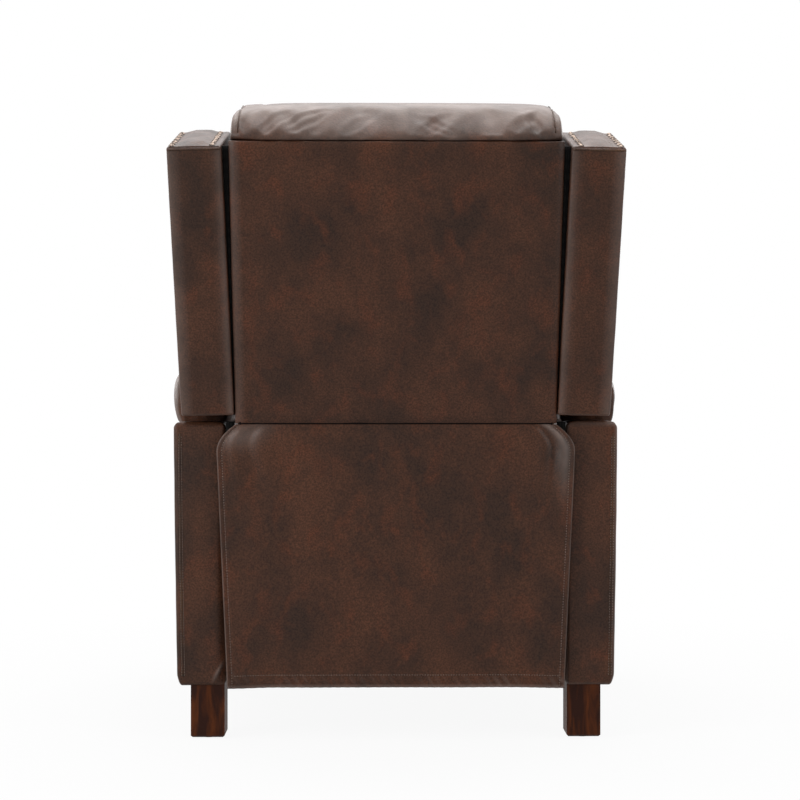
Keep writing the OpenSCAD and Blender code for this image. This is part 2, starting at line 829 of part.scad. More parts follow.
module head_pillow() {
    rear = cushion_rear;
    front = rear - pillow_depth;
    low = panel_height - pillow_drop;
    lip = panel_height + seat_gap;
    high = panel_height + pillow_rise;
    d = pillow_depth;
    outline = rounded([
        [rear, low, 0.06*d], [rear, lip, 0.02*d], [0, lip, 0.05*d],
        [0, lip + 0.55*pillow_rise, 0.12*d], [-0.25*d, high, 0.22*d], [front + 0.35*d, high, 0.3*d],
        [front, mix(low, high, 0.62), 0.5*d], [front + 0.10*d, low, 0.3*d]
    ]);
    color(leather) on_back() soft_form(
        outline, [front + 0.55*d, low + 0.4*d], [rear, lip + 0.2*pillow_rise], panel_width/2, 0.74,
        [rear - 0.2*d, lip + 0.35*pillow_rise]
    );
}

// Wings

// Depth of the wing at share s of its height
function wing_depth(s) = mix(wing_bottom_depth, wing_top_depth, s) + wing_bulge*sin(180*pow(s, 1.3));

// Side outline of a wing in the back's leaning frame, drawn in by d all round
function wing_outline(d) = concat(
    [[-d, wing_foot_rear + d], [-d, wing_edge_z - d]],
    [for (k = [wing_steps : -1 : 0]) let (s = k/wing_steps) [
        -(wing_depth(s) - d), mix(wing_foot_front + d, wing_edge_z - d, s)
    ]]
);

module wing_cover() {
    windows = wing_block + 4*seat_gap;
    color(leather) on_wing() difference() {
        slab_x(wing_in, wing_thickness) polygon(wing_outline(0));
        slab_x(wing_in + wing_wall, wing_thickness - 2*wing_wall) polygon(wing_outline(wing_wall));
        for (z = wing_bolt_heights()) block(
            [wing_in - cut, wing_bolt_y - windows/2, z - windows/2],
            [wing_in + wing_wall + cut, wing_bolt_y + windows/2, z + windows/2]
        );
    }
}

module wing_frame() {
    x0 = wing_in + wing_wall + seat_gap;
    half = wing_block/2;
    color(wood) on_wing() difference() {
        union() {
            slab_x(x0, wing_board) polygon(wing_outline(wing_wall + seat_gap));
            for (z = wing_bolt_heights()) block(
                [before_lean(back_half + seat_gap, z - half), wing_bolt_y - half, z - half],
                [x0 + wing_board/2, wing_bolt_y + half, z + half]
            );
        }
        for (z = wing_bolt_heights()) bar_x(
            back_half - wing_block, x0 + wing_board + cut, [wing_bolt_y, z], wing_bolt_radius + seat_gap
        );
    }
}

module wing_bolts() {
    x1 = wing_in + wing_wall + wing_board - seat_gap;
    color(metal) both_sides() on_wing() for (z = wing_bolt_heights()) {
        x0 = before_lean(back_half - back_post_width - 2*seat_gap, z);
        bar_x(x0, x1, [wing_bolt_y, z], wing_bolt_radius);
        bar_x(x0 - wing_bolt_radius, x0, [wing_bolt_y, z], 2*wing_bolt_radius);
    }
}

// Nails along the wing's top, then down its front edge
module wing_nails() {
    top_count = floor((wing_top_depth - nail_pitch)/nail_pitch);
    front_length = wing_edge_z - wing_foot_front;
    front_count = floor(front_length/nail_pitch) - 1;
    rows = [wing_in + nail_inner_inset, wing_in + wing_thickness - nail_outer_inset];
    on_wing() for (x = rows) {
        for (k = [0 : top_count])
            translate([x, -nail_pitch/2 - k*nail_pitch, wing_edge_z + seat_gap]) nail();
        for (k = [1 : front_count]) {
            s = 1 - (k + 0.1)*nail_pitch/front_length;
            slope = (wing_depth(s + 0.02) - wing_depth(s - 0.02))/(0.04*front_length);
            translate([x, -wing_depth(s) - seat_gap, mix(wing_foot_front, wing_edge_z, s)])
                rotate([90 + atan(slope), 0, 0]) nail();
        }
    }
}

// Rear flap

// Half width of the flap at a drop below its top edge
function flap_half(drop, length) = mix(flap_full_half, flap_hem_half, drop/length)
    - (flap_full_half - flap_top_half)*pow(1 - min(1, drop/flap_flare), 2);

// Height of the folds at share u across and at a drop below the top edge
function flap_wave(u, drop, length) = flap_fold*(
    0.45*sin(200*u + 30)*min(1, 2*drop/length)
    + 0.5*sin(1500*u)*pow(abs(u), 6)*min(1, 3*drop/flap_flare)*max(0, 1 - drop/(3*flap_flare))
);

module rear_flap() {
    top = flap_hinge_z;
    length = top - flap_floor_gap;
    columns = flap_columns;
    rows = flap_rows;
    side = (columns + 1)*(rows + 1);
    points = [
        for (y = [0, -flap_thickness]) for (j = [0 : rows]) for (i = [0 : columns])
            let (drop = length*pow(j/rows, 1.7), u = -1 + 2*i/columns)
            [u*flap_half(drop, length), flap_y + y + flap_wave(u, drop, length), top - drop]
    ];
    rear = [
        for (j = [0 : rows - 1]) for (i = [0 : columns - 1])
            let (a = j*(columns + 1) + i, b = a + columns + 1)
            each [[a, b + 1, a + 1], [a, b, b + 1]]
    ];
    front = [for (f = rear) [f[0] + side, f[2] + side, f[1] + side]];
    rim = concat(
        [for (i = [0 : columns]) i],
        [for (j = [1 : rows]) j*(columns + 1) + columns],
        [for (i = [1 : columns]) (rows + 1)*(columns + 1) - 1 - i],
        [for (j = [1 : rows - 1]) (rows - j)*(columns + 1)]
    );
    n = len(rim);
    edge = [
        for (k = [0 : n - 1])
            let (a = rim[k], b = rim[(k + 1)%n])
            each [[a, b, b + side], [a, b + side, a + side]]
    ];
    color(leather) polyhedron(points, concat(rear, front, edge), convexity = 6);
}

// Wood strip on the back frame that the flap is tacked to
module flap_tack_strip() {
    rear_share = 0.35;
    color(wood) on_back() block(
        [-back_half, post_rear + seat_gap, -tack_strip_height],
        [back_half, -rear_share*panel_thickness, -seat_gap]
    );
}

// Seat

module seat_frame() {
    z0 = seat_rail_z;
    z1 = seat_rail_top;
    color(wood) difference() {
        union() {
            both_sides() block([seat_half - seat_rail_width, seat_front_y, z0], [seat_half, seat_rear_y, z1]);
            for (y = [seat_front_y, seat_mid_y, seat_rear_y - seat_cross_rail])
                block([-seat_half, y, z0], [seat_half, y + seat_cross_rail, z1]);
        }
        both_sides() for (y = carriage_screw_y) bar_x(
            seat_half - 5*screw_radius, seat_half + cut, [y, carriage_screw_z], screw_radius + pin_clearance
        );
    }
    color(metal) for (x = [-spring_x, spring_x]) block(
        [x - 2*spring_radius, tab_y, bar_z - spring_radius], [x + 2*spring_radius, tab_y + steel, z0 - seat_gap]
    );
}

carriage_screw_z = seat_rail_z + 0.8*seat_rail_height;
carriage_screw_y = [
    lower_pivot[0] + 2*screw_head, (lower_pivot[0] + shoe_front_y)/2, (shoe_front_y + shoe_rear_y)/2
];

module carriage_plates() {
    low = lower_pivot[1] - 1.8*rivet_head;
    front = lower_pivot[0] - 2*rivet_head;
    color(metal) both_sides() difference() {
        slab_x(carriage_in + seat_gap/2, steel - seat_gap/2) difference() {
            translate([front, low])
                square([shoe_rear_y + shoe_length/2 - front, seat_rail_top - low - seat_gap]);
            translate(lower_pivot) circle(rivet_radius + pin_clearance);
            for (y = carriage_screw_y) translate([y, carriage_screw_z]) circle(screw_radius + pin_clearance);
        }
    }
    color(metal) both_sides() for (y = carriage_screw_y)
        bar_x(seat_half - 4*screw_radius, carriage_out, [y, carriage_screw_z], screw_radius);
}

module seat_shoes() {
    slot = track_size/2 + seat_gap;
    tall = track_size/2 + shoe_wall;
    color(nylon) both_sides() for (y = [shoe_front_y, shoe_rear_y]) difference() {
        block([carriage_out + seat_gap/2, y - shoe_length/2, track_z - tall],
            [plate_in - seat_gap, y + shoe_length/2, track_z + tall]);
        block([track_in - seat_gap, y - shoe_length, track_z - slot],
            [plate_in + cut, y + shoe_length, track_z + slot]);
    }
}

module seat_springs() {
    rows = 5;
    length = seat_rear_y - seat_front_y - seat_cross_rail;
    y0 = seat_front_y + seat_cross_rail/2;
    color(metal) for (k = [1 : rows])
        translate([-seat_half + 2*seat_half*k/(rows + 1), y0, seat_rail_top + seat_gap])
            rotate([0, 0, 90]) winding(length, 10, seat_rail_width/2, spring_wire);
}

module seat_deck() {
    color(cloth) block([-seat_half, seat_front_y, deck_z], [seat_half, seat_rear_y, deck_z + deck_thickness]);
}

module seat_cushion() {
    h = seat_cushion_height;
    low = cushion_z;
    high = low + h;
    outline = rounded([
        [nose_y + 0.25*h, low, 0.15*h], [cushion_rear_y, low, 0.15*h], [cushion_rear_y, high - 0.13*h, 0.3*h],
        [mix(nose_y, cushion_rear_y, 0.5), high + 0.02*h, 0.8*h], [nose_y + 0.04*h, high - 0.08*h, 0.32*h],
        [nose_y, low + 0.26*h, 0.2*h]
    ]);
    mid = low + 0.45*h;
    color(leather) soft_form(
        outline, [nose_y + 0.6*h, low], [cushion_rear_y - 0.5*h, mid], cushion_half, 0.74,
        [(nose_y + cushion_rear_y)/2, mid]
    );
}

module seat_front_band() {
    color(leather) block(
        [-seat_half, seat_front_y - band_thickness, seat_rail_z],
        [seat_half, seat_front_y - seat_gap, seat_rail_top]
    );
}

// Footrest linkage

// Flat bar from p to q, with an eye at each end that is a little wider than the bar
module link_bar(p, q, x) {
    turn = atan2(q[1] - p[1], q[0] - p[0]);
    web = 0.86*link_width;
    color(metal) difference() {
        slab_x(x, steel) union() {
            translate(p) circle(link_width/2);
            translate(q) circle(link_width/2);
            translate(p) rotate(turn) translate([0, -web/2]) square([norm(q - p), web]);
        }
        for (at = [p, q]) bar_x(x - cut, x + steel + cut, at, rivet_radius + pin_clearance);
    }
}

module lower_links() {
    both_sides() link_bar(lower_pivot, elbow, lower_link_in);
}

module upper_links() {
    both_sides() link_bar(elbow, foot_pivot, upper_link_in);
}

module link_cross_tube() {
    reach = lower_link_in - seat_gap/2;
    color(metal) difference() {
        bar_x(-reach, reach, link_tube, link_tube_radius);
        bar_x(-reach - cut, reach + cut, link_tube, 0.75*link_tube_radius);
    }
}

// Rivet through the layers from x0 to x1, with a head outside each of them
module rivet(at, x0, x1) {
    color(metal) {
        bar_x(x0 - seat_gap, x1 + seat_gap, at, rivet_radius);
        bar_x(x0 - seat_gap - rivet_cap, x0 - seat_gap, at, rivet_head);
        bar_x(x1 + seat_gap, x1 + seat_gap + rivet_cap, at, rivet_head);
    }
}

module lower_pivot_rivets() {
    both_sides() rivet(lower_pivot, carriage_in, lower_link_out);
}

module elbow_rivets() {
    both_sides() rivet(elbow, lower_link_in, upper_link_out);
}

module footrest_brackets() {
    half = 0.22*footrest_height;
    foot_in = min(foot_bracket_in, footrest_width/2 - 1.5*board_inset) - link_width;
    color(metal) both_sides() {
        difference() {
            slab_x(foot_bracket_in, steel) polygon([
                [board_rear_y + seat_gap, foot_pivot[1] - half], foot_pivot + [0, -link_width/2],
                foot_pivot + [link_width/2, 0], foot_pivot + [0, link_width/2],
                [board_rear_y + seat_gap, foot_pivot[1] + half]
            ]);
            bar_x(foot_bracket_in - cut, foot_bracket_out + cut, foot_pivot, rivet_radius + pin_clearance);
        }
        block(
            [foot_in, board_rear_y + seat_gap, foot_pivot[1] - half],
            [foot_bracket_in, board_rear_y + seat_gap + steel, foot_pivot[1] + half]
        );
        rivet(foot_pivot, upper_link_in, foot_bracket_out);
    }
}

module footrest_board() {
    z0 = footrest_clearance + board_inset;
    z1 = footrest_clearance + footrest_height - board_inset;
    color(wood) block(
        [-footrest_width/2 + 1.5*board_inset, board_rear_y - board_thickness, z0],
        [footrest_width/2 - 1.5*board_inset, board_rear_y, z1]
    );
}

module footrest_pad() {
    d = footrest_pad_depth;
    rear = board_rear_y - board_thickness - seat_gap;
    low = footrest_clearance;
    high = low + footrest_height;
    outline = rounded([
        [front_y + 0.14*d, low, 0.5*d], [rear, low, 0.15*d], [rear, high, 0.15*d],
        [front_y + 0.14*d, high, 0.5*d], [front_y - 0.0505*d, (low + high)/2, 1.3*d]
    ]);
    hub = [rear - 0.3*d, (low + high)/2];
    color(leather) soft_form(
        outline, [rear, low + 0.6*d], [rear, high - 0.6*d], footrest_width/2, 0.7, hub
    );
}

arm_frame();  // left_arm_frame
other_side() arm_frame();  // right_arm_frame
arm_cover();  // left_arm_cover
other_side() arm_cover();  // right_arm_cover
arm_pad();  // left_arm_pad
other_side() arm_pad();  // right_arm_pad
arm_front();  // left_arm_front
other_side() arm_front();  // right_arm_front
arm_nails();
front_stretcher();
rear_stretcher();
leg(front_leg_y);  // front_left_leg
other_side() leg(front_leg_y);  // front_right_leg
leg(rear_leg_y);  // rear_left_leg
other_side() leg(rear_leg_y);  // rear_right_leg
leg_bolts();
leg_glides();
dust_cover();
side_plate();  // left_side_plate
other_side() side_plate();  // right_side_plate
plate_cleat();  // left_plate_cleat
other_side() plate_cleat();  // right_plate_cleat
plate_screws();
seat_tracks();
back_pivot_pins();
pivot_washers();
back_stops();
rear_cross_bar();
return_springs();
back_frame();
back_springs();
outer_back_panel();
back_cushion();
head_pillow();
wing_frame();  // left_wing_frame
other_side() wing_frame();  // right_wing_frame
wing_cover();  // left_wing_cover
other_side() wing_cover();  // right_wing_cover
wing_nails();  // left_wing_nails
other_side() wing_nails();  // right_wing_nails
wing_bolts();
back_brackets();
bracket_screws();
rear_flap();
flap_tack_strip();
seat_frame();
seat_springs();
seat_deck();
seat_cushion();
seat_front_band();
carriage_plates();
seat_shoes();
lower_pivot_rivets();
lower_links();
link_cross_tube();
elbow_rivets();
upper_links();
footrest_board();
footrest_pad();
footrest_brackets();
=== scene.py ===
# High-leg wing recliner, dressed in mottled brown leather, seen from behind.
# Metres, +Z up.  The sitter faces -Y and their left side is +X.
import math
from functools import partial

import bpy
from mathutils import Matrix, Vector, noise
from mathutils.bvhtree import BVHTree
from mathutils.kdtree import KDTree


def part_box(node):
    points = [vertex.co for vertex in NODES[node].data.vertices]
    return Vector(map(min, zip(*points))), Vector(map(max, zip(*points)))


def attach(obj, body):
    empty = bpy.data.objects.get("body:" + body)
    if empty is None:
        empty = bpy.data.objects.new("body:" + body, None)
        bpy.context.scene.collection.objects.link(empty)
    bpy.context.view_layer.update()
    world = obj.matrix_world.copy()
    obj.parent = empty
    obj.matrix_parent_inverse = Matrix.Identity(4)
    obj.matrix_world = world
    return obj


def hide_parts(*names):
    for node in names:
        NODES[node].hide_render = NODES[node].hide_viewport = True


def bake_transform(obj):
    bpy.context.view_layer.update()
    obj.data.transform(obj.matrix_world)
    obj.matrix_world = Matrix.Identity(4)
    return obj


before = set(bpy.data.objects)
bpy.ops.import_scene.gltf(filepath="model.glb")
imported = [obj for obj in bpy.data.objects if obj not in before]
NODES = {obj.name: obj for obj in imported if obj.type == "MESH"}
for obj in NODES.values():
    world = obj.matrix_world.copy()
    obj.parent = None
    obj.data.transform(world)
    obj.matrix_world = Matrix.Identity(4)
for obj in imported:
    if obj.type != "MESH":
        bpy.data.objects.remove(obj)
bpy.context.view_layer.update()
MM = 0.001

# The chair's main places, as in the solid model
RAKE = math.radians(16)
ARM_IN = 287 * MM
ARM_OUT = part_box("left_arm_cover")[1].x
ARM_MIDDLE = (ARM_IN + ARM_OUT) / 2
LEG_HEIGHT = 93 * MM
ARM_TOP = 532 * MM
PANEL_HALF = 270 * MM
PANEL_HEIGHT = 469 * MM
WING_IN = 271 * MM
WING_THICK = 88 * MM
WING_TOP = 461 * MM
WING_LEAN = math.radians(1.3)
WING_MIDDLE = WING_IN + WING_THICK / 2
ARM_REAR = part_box("left_arm_cover")[1].y
BACK_FOOT_HEIGHT = 535 * MM
FLAP_BEHIND_FOOT = 2.3 * MM
BACK_FOOT = Vector((0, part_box("rear_flap")[1].y - FLAP_BEHIND_FOOT, BACK_FOOT_HEIGHT))


def linear(code):
    """Linear colour of an sRGB hex code."""
    parts = [int(code[i : i + 2], 16) / 255 for i in (1, 3, 5)]
    return tuple(c / 12.92 if c <= 0.04045 else ((c + 0.055) / 1.055) ** 2.4 for c in parts) + (1.0,)


def connect(tree, node, inputs):
    """Sets a node's sockets: another socket is linked, and anything else is a plain value."""
    for key, value in inputs.items():
        if isinstance(value, bpy.types.NodeSocket):
            tree.links.new(value, node.inputs[key])
        else:
            node.inputs[key].default_value = value


def add(tree, kind, inputs=None, **settings):
    """New node with its settings and its sockets."""
    node = tree.nodes.new(kind)
    for name, value in settings.items():
        setattr(node, name, value)
    connect(tree, node, inputs or {})
    return node


def new_finish(name):
    """Empty material with its surface shader, its tree and the object's own coordinates."""
    material = bpy.data.materials.new(name)
    material.use_nodes = True
    tree = material.node_tree
    shader = tree.nodes["Principled BSDF"]
    place = add(tree, "ShaderNodeTexCoord").outputs["Object"]
    return material, tree, shader, place


def per_mm(size):
    """Texture scale that gives one cell each so many millimetres."""
    return 1 / (size * MM)


def cloud_noise(tree, place, size, detail=2.0, roughness=0.5, distortion=0.0):
    """Smooth noise whose cells are so many millimetres across."""
    noise_node = add(tree, "ShaderNodeTexNoise", {
        "Vector": place, "Scale": per_mm(size), "Detail": detail,
        "Roughness": roughness, "Distortion": distortion,
    })
    return noise_node.outputs["Fac"]


def remap(tree, value, low, high, at_low, at_high):
    """Straight line between two values, level outside them."""
    line = add(tree, "ShaderNodeMapRange", {
        "Value": value, "From Min": low, "From Max": high, "To Min": at_low, "To Max": at_high})
    return line.outputs["Result"]


def mix_colours(tree, share, first, second):
    """Colour between two, at a share of the way."""
    mix = add(tree, "ShaderNodeMix", {"Factor": share, "A": first, "B": second}, data_type="RGBA")
    return mix.outputs["Result"]


def relief(tree, height, strength, depth, below=None):
    """Surface direction over a relief so many millimetres deep, which may lie on another relief."""
    bump = add(tree, "ShaderNodeBump", {"Height": height, "Strength": strength, "Distance": depth * MM})
    if below is not None:
        tree.links.new(below, bump.inputs["Normal"])
    return bump.outputs["Normal"]


def ramp(tree, factor, stops):
    """Colour ramp through (place, hex code) pairs."""
    node = add(tree, "ShaderNodeValToRGB", {"Fac": factor})
    band = node.color_ramp
    while len(band.elements) < len(stops):
        band.elements.new(0.5)
    for element, (place, code) in zip(band.elements, stops):
        element.position = place
        element.color = linear(code)
    return node.outputs["Color"]


def pull_up_leather(name, dark, middle, rust, worn_and_highlight_colour):
    """Waxed cowhide dyed in two tones: cloudy patches, rusty flares, a pebbled grain, paler worn edges, and
    painted highlights and sheen.
    """
    material, tree, shader, place = new_finish(name)
    # Dye clouds are about 90 mm across and rusty flares about 40 mm, drawn out along a slant
    slant = add(tree, "ShaderNodeMapping", {
        "Vector": place, "Rotation": (0.0, 0.7, 0.0), "Scale": (1.0, 1.0, 0.72)}).outputs["Vector"]
    clouds = cloud_noise(tree, slant, 90, 4.0, 0.6)
    flares = cloud_noise(tree, slant, 36, 3.0, 0.55, 0.4)
    dye = ramp(tree, clouds, [(0.36, dark), (0.64, middle)])
    dyed = mix_colours(tree, remap(tree, flares, 0.52, 0.70, 0.0, 0.6), dye, linear(rust))
    # The grain's own colour is drawn at 2.8 mm, coarser than in the hide, so that it shows from 3 metres
    specks = cloud_noise(tree, place, 2.8, 1.5, 0.6)
    shade = remap(tree, specks, 0.32, 0.68, 0.6, 1.42)
    grained = add(tree, "ShaderNodeVectorMath", {0: dyed, "Scale": shade}, operation="SCALE")
    # Worn edges, and painted highlights and sheen, come from a share that each piece carries in its mesh
    share = add(tree, "ShaderNodeAttribute", attribute_name="wear_and_highlight").outputs["Fac"]
    wear_and_highlight = add(tree, "ShaderNodeMath", {0: share, 1: clouds}, operation="MULTIPLY").outputs["Value"]
    worn_and_lit = mix_colours(tree, wear_and_highlight, grained.outputs["Vector"], linear(worn_and_highlight_colour))
    # Wax leaves the flares a little shinier
    gloss = remap(tree, flares, 0.35, 0.65, 0.48, 0.40)
    # Pebbles are about 1 mm in the hide and drawn at 3.4 mm, over folds of 14 mm
    pebbles = add(tree, "ShaderNodeTexVoronoi", {"Vector": place, "Scale": per_mm(3.4)}, feature="SMOOTH_F1")
    slack = relief(tree, cloud_noise(tree, place, 14, 4.0, 0.65), 0.35, 1.2)
    connect(tree, shader, {
        "Base Color": worn_and_lit, "Roughness": gloss, "IOR": 1.46, "Specular IOR Level": 0.22,
        "Normal": relief(tree, pebbles.outputs["Distance"], 0.42, 0.6, slack),
    })
    return material


def stained_wood(name, dark, light, roughness, gloss):
    """Plain-sawn timber: grain of 14 mm drawn out along Z, with short pores."""
    material, tree, shader, place = new_finish(name)
    along = add(tree, "ShaderNodeMapping", {"Vector": place, "Scale": (1.0, 1.0, 0.16)}).outputs["Vector"]
    rings = cloud_noise(tree, along, 14, 4.0, 0.5, 0.8)
    pores = cloud_noise(tree, along, 1.6, 1.0)
    connect(tree, shader, {
        "Base Color": ramp(tree, rings, [(0.38, dark), (0.64, light)]),
        "Normal": relief(tree, pores, 0.15, 0.3),
        "Roughness": roughness, "Specular IOR Level": gloss, "IOR": 1.5,
    })
    return material


def drawn_metal(name, bright, dull, roughness, spots):
    """Metal with blotches of tarnish or handling marks, so many millimetres across."""
    material, tree, shader, place = new_finish(name)
    tarnish = cloud_noise(tree, place, spots, 3.0)
    connect(tree, shader, {
        "Base Color": ramp(tree, tarnish, [(0.40, dull), (0.60, bright)]), "Metallic": 1.0,
        "Roughness": remap(tree, tarnish, 0.0, 1.0, roughness + 0.12, roughness - 0.06),
    })
    return material


def crossed_cloth(name, dark, light, pitch):
    """Thin cloth with two sets of bands that cross, at a pitch in millimetres."""
    material, tree, shader, place = new_finish(name)
    # A wave texture of scale 1 has 20 bands in each length of two pi
    scale = per_mm(pitch) * 2 * math.pi / 20
    along_x = add(tree, "ShaderNodeTexWave", {"Vector": place, "Scale": scale}, bands_direction="X")
    along_y = add(tree, "ShaderNodeTexWave", {"Vector": place, "Scale": scale}, bands_direction="Y")
    weave = add(tree, "ShaderNodeMath", {
        0: along_x.outputs["Fac"], 1: along_y.outputs["Fac"]}, operation="MULTIPLY").outputs["Value"]
    connect(tree, shader, {
        "Base Color": ramp(tree, weave, [(0.1, dark), (0.8, light)]), "Normal": relief(tree, weave, 0.5, 0.4),
        "Roughness": 0.85, "Sheen Weight": 0.05, "Specular IOR Level": 0.1,
    })
    return material


def moulded_polymer(name, dark, light, roughness, gloss=0.5):
    """Nylon, rubber or powder coating: even colour, slightly cloudy, with a fine pitted texture."""
    material, tree, shader, place = new_finish(name)
    cloud = cloud_noise(tree, place, 12, 2.0)
    pits = cloud_noise(tree, place, 1.2, 1.0)
    connect(tree, shader, {
        "Base Color": ramp(tree, cloud, [(0.3, dark), (0.7, light)]), "Normal": relief(tree, pits, 0.12, 0.2),
        "Roughness": roughness, "Specular IOR Level": gloss,
    })
    return material


def spun_thread(name, dark, light):
    """Bonded polyester thread: the twist shows as short light and dark bars."""
    material, tree, shader, place = new_finish(name)
    twist = cloud_noise(tree, place, 1.5, 1.0)
    connect(tree, shader, {
        "Base Color": ramp(tree, twist, [(0.35, dark), (0.65, light)]),
        "Roughness": 0.6, "Sheen Weight": 0.3,
    })
    return material


# The last colour is the pale grey of worn edges, and of the painted highlights and sheen
HIDE = pull_up_leather("pull_up_cowhide_brown", "#2c1b12", "#44291b", "#4e2a19", "#7f726c")
WELT = pull_up_leather("pull_up_cowhide_welt", "#2a1a12", "#46301f", "#4a2c1c", "#7f726c")
LEG_WOOD = stained_wood("espresso_stained_beech", "#28120a", "#502811", 0.5, 0.1)
FRAME_WOOD = stained_wood("planed_poplar", "#9a7a4e", "#c6a877", 0.7, 0.4)
# The frame's black stain is made near black and dull so that, where it shows in the gaps, it stands in for
# their deep shade: painted shade
BLACK_GAP_FRAME = stained_wood("black_stained_poplar_as_gap_shade", "#080606", "#0f0b0a", 0.9, 0.08)
NAIL_BRASS = drawn_metal("antiqued_brass", "#918074", "#3c332d", 0.42, 3.5)
ZINC_STEEL = drawn_metal("zinc_plated_steel", "#a9abad", "#85878a", 0.36, 22)
BLACK_STEEL = moulded_polymer("black_powder_coated_steel", "#0d0c0c", "#161514", 0.75, 0.12)
SPRING_STEEL = drawn_metal("oil_tempered_wire", "#6a6c6f", "#3f4043", 0.42, 9)
# The cloth's embossed lines are about 1 mm apart and drawn 4.75 mm apart, so that they show
DUST_CLOTH = crossed_cloth("spunbonded_black_cloth", "#0b0a0a", "#1a1918", 4.75)
NYLON = moulded_polymer("natural_nylon", "#cfccc2", "#dcd9d0", 0.45)
RUBBER = moulded_polymer("black_nitrile_rubber", "#141313", "#201f1e", 0.7)
THREAD = spun_thread("bonded_polyester_thread", "#43332a", "#7c6657")

# Finish of each piece of the solid model that stays in sight; all others are of zinc plated steel
FINISHES = {
    "arm_nails": NAIL_BRASS, "left_wing_nails": NAIL_BRASS, "right_wing_nails": NAIL_BRASS,
    "front_left_leg": LEG_WOOD, "front_right_leg": LEG_WOOD, "rear_left_leg": LEG_WOOD,
    "rear_right_leg": LEG_WOOD, "back_stops": RUBBER, "leg_glides": NYLON, "seat_shoes": NYLON,
    "pivot_washers": NYLON, "left_arm_frame": FRAME_WOOD, "right_arm_frame": FRAME_WOOD,
    "front_stretcher": FRAME_WOOD, "rear_stretcher": FRAME_WOOD, "left_plate_cleat": FRAME_WOOD,
    "right_plate_cleat": FRAME_WOOD, "back_frame": BLACK_GAP_FRAME, "left_wing_frame": BLACK_GAP_FRAME,
    "right_wing_frame": BLACK_GAP_FRAME, "seat_frame": FRAME_WOOD, "footrest_board": HIDE,
    "flap_tack_strip": BLACK_GAP_FRAME, "left_side_plate": BLACK_STEEL, "right_side_plate": BLACK_STEEL,
    "back_brackets": BLACK_STEEL, "rear_cross_bar": BLACK_STEEL, "carriage_plates": BLACK_STEEL,
    "lower_links": BLACK_STEEL, "upper_links": BLACK_STEEL, "link_cross_tube": BLACK_STEEL,
    "footrest_brackets": BLACK_STEEL, "back_springs": SPRING_STEEL, "seat_springs": SPRING_STEEL,
}
for name, node in NODES.items():
    node.data.materials.clear()
    node.data.materials.append(FINISHES.get(name, ZINC_STEEL))


def smooth_step(low, high, x):
    """0 below low, 1 above high, and a smooth rise between them."""
    t = clamp((x - low) / (high - low))
    return t * t * (3 - 2 * t)


def clamp(x, low=0.0, high=1.0):
    """Nearest value to x between two limits."""
    return min(max(x, low), high)


def bell(x, middle, width):
    """Smooth hump of height 1 round a middle."""
    return math.exp(-(((x - middle) / width) ** 2))


def crown(u, power=2.0):
    """Height of a padded face at share u from its middle, -1 to 1."""
    return 1 - abs(u) ** power


def ripple(p, size, seed):
    """Smooth undulation between -1 and 1 with cells of the given size."""
    return noise.noise(p / size + Vector((seed, 2.3 * seed, -seed)))


def on_back(p):
    """Place in the chair of a point in the back's own leaning frame."""
    c, s = math.cos(RAKE), math.sin(RAKE)
    return BACK_FOOT + Vector((p.x, p.y * c + p.z * s, -p.y * s + p.z * c))


def on_wing(p):
    """Place in the chair of a point of a wing, before the wing leans outwards."""
    c, s = math.cos(WING_LEAN), math.sin(WING_LEAN)
    x = p.x - WING_MIDDLE
    return on_back(Vector((WING_MIDDLE + x * c + p.z * s, p.y, p.z * c - x * s)))


def mirrored(place, sign):
    """The same placing for the chair's other side, when sign is -1."""
    return lambda p: Vector((sign * place(p).x, place(p).y, place(p).z))


# Meshes
def volume_sign(points, faces):
    """Positive where a closed form's faces look outwards."""
    total = 0.0
    for face in faces:
        for i in range(1, len(face) - 1):
            total += points[face[0]].dot(points[face[i]].cross(points[face[i + 1]]))
    return total


def piece(name, points, faces, body, material, wear_and_highlight=None):
    """New object from points and faces, riding on a body of the chair."""
    if volume_sign(points, faces) < 0:
        faces = [tuple(face)[::-1] for face in faces]
    mesh = bpy.data.meshes.new(name)
    mesh.from_pydata([tuple(p) for p in points], [], faces)
    mesh.polygons.foreach_set("use_smooth", [True] * len(mesh.polygons))
    mesh.materials.append(material)
    if wear_and_highlight is not None:
        layer = mesh.attributes.new("wear_and_highlight", "FLOAT", "POINT")
        layer.data.foreach_set("value", wear_and_highlight)
    mesh.update()
    obj = bpy.data.objects.new(name, mesh)
    bpy.context.scene.collection.objects.link(obj)
    if body:
        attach(obj, body)
    return obj


def set_places(mesh, places):
    """Moves each point of a mesh to its new place."""
    for v, place in zip(mesh.vertices, places):
        v.co = place
    mesh.update()


def paint_highlight(obj, share):
    """Sets the share of pale colour at each point: painted highlights, and over the pillow painted sheen with
    some pull-up paling.
    """
    layer = obj.data.attributes["wear_and_highlight"]
    layer.data.foreach_set("value", [share(v.co) for v in obj.data.vertices])


# Cuts over each rounded edge of a block, and how far that edge is rubbed pale
ROUND_CUTS = 4
EDGE_WEAR_RATE = 1.4
EDGE_WEAR_MOST = 0.4


def cuts_along(low, high, reach, spacing, extra=()):
    """Cuts along one edge of a block: fine over the two rounded ends, even between them."""
    bend = [reach * (1 - math.tan(math.radians(45 * (1 - k / ROUND_CUTS)))) for k in range(ROUND_CUTS + 1)]
    span = high - low - 2 * reach
    count = max(1, round(span / spacing))
    middle = [low + reach + span * k / count for k in range(1, count)]
    middle = [m for m in middle if all(abs(m - e) > 0.4 * spacing for e in extra)]
    cuts = [low + b for b in bend] + middle + list(extra) + [high - b for b in bend]
    return sorted({round(c, 6) for c in cuts})


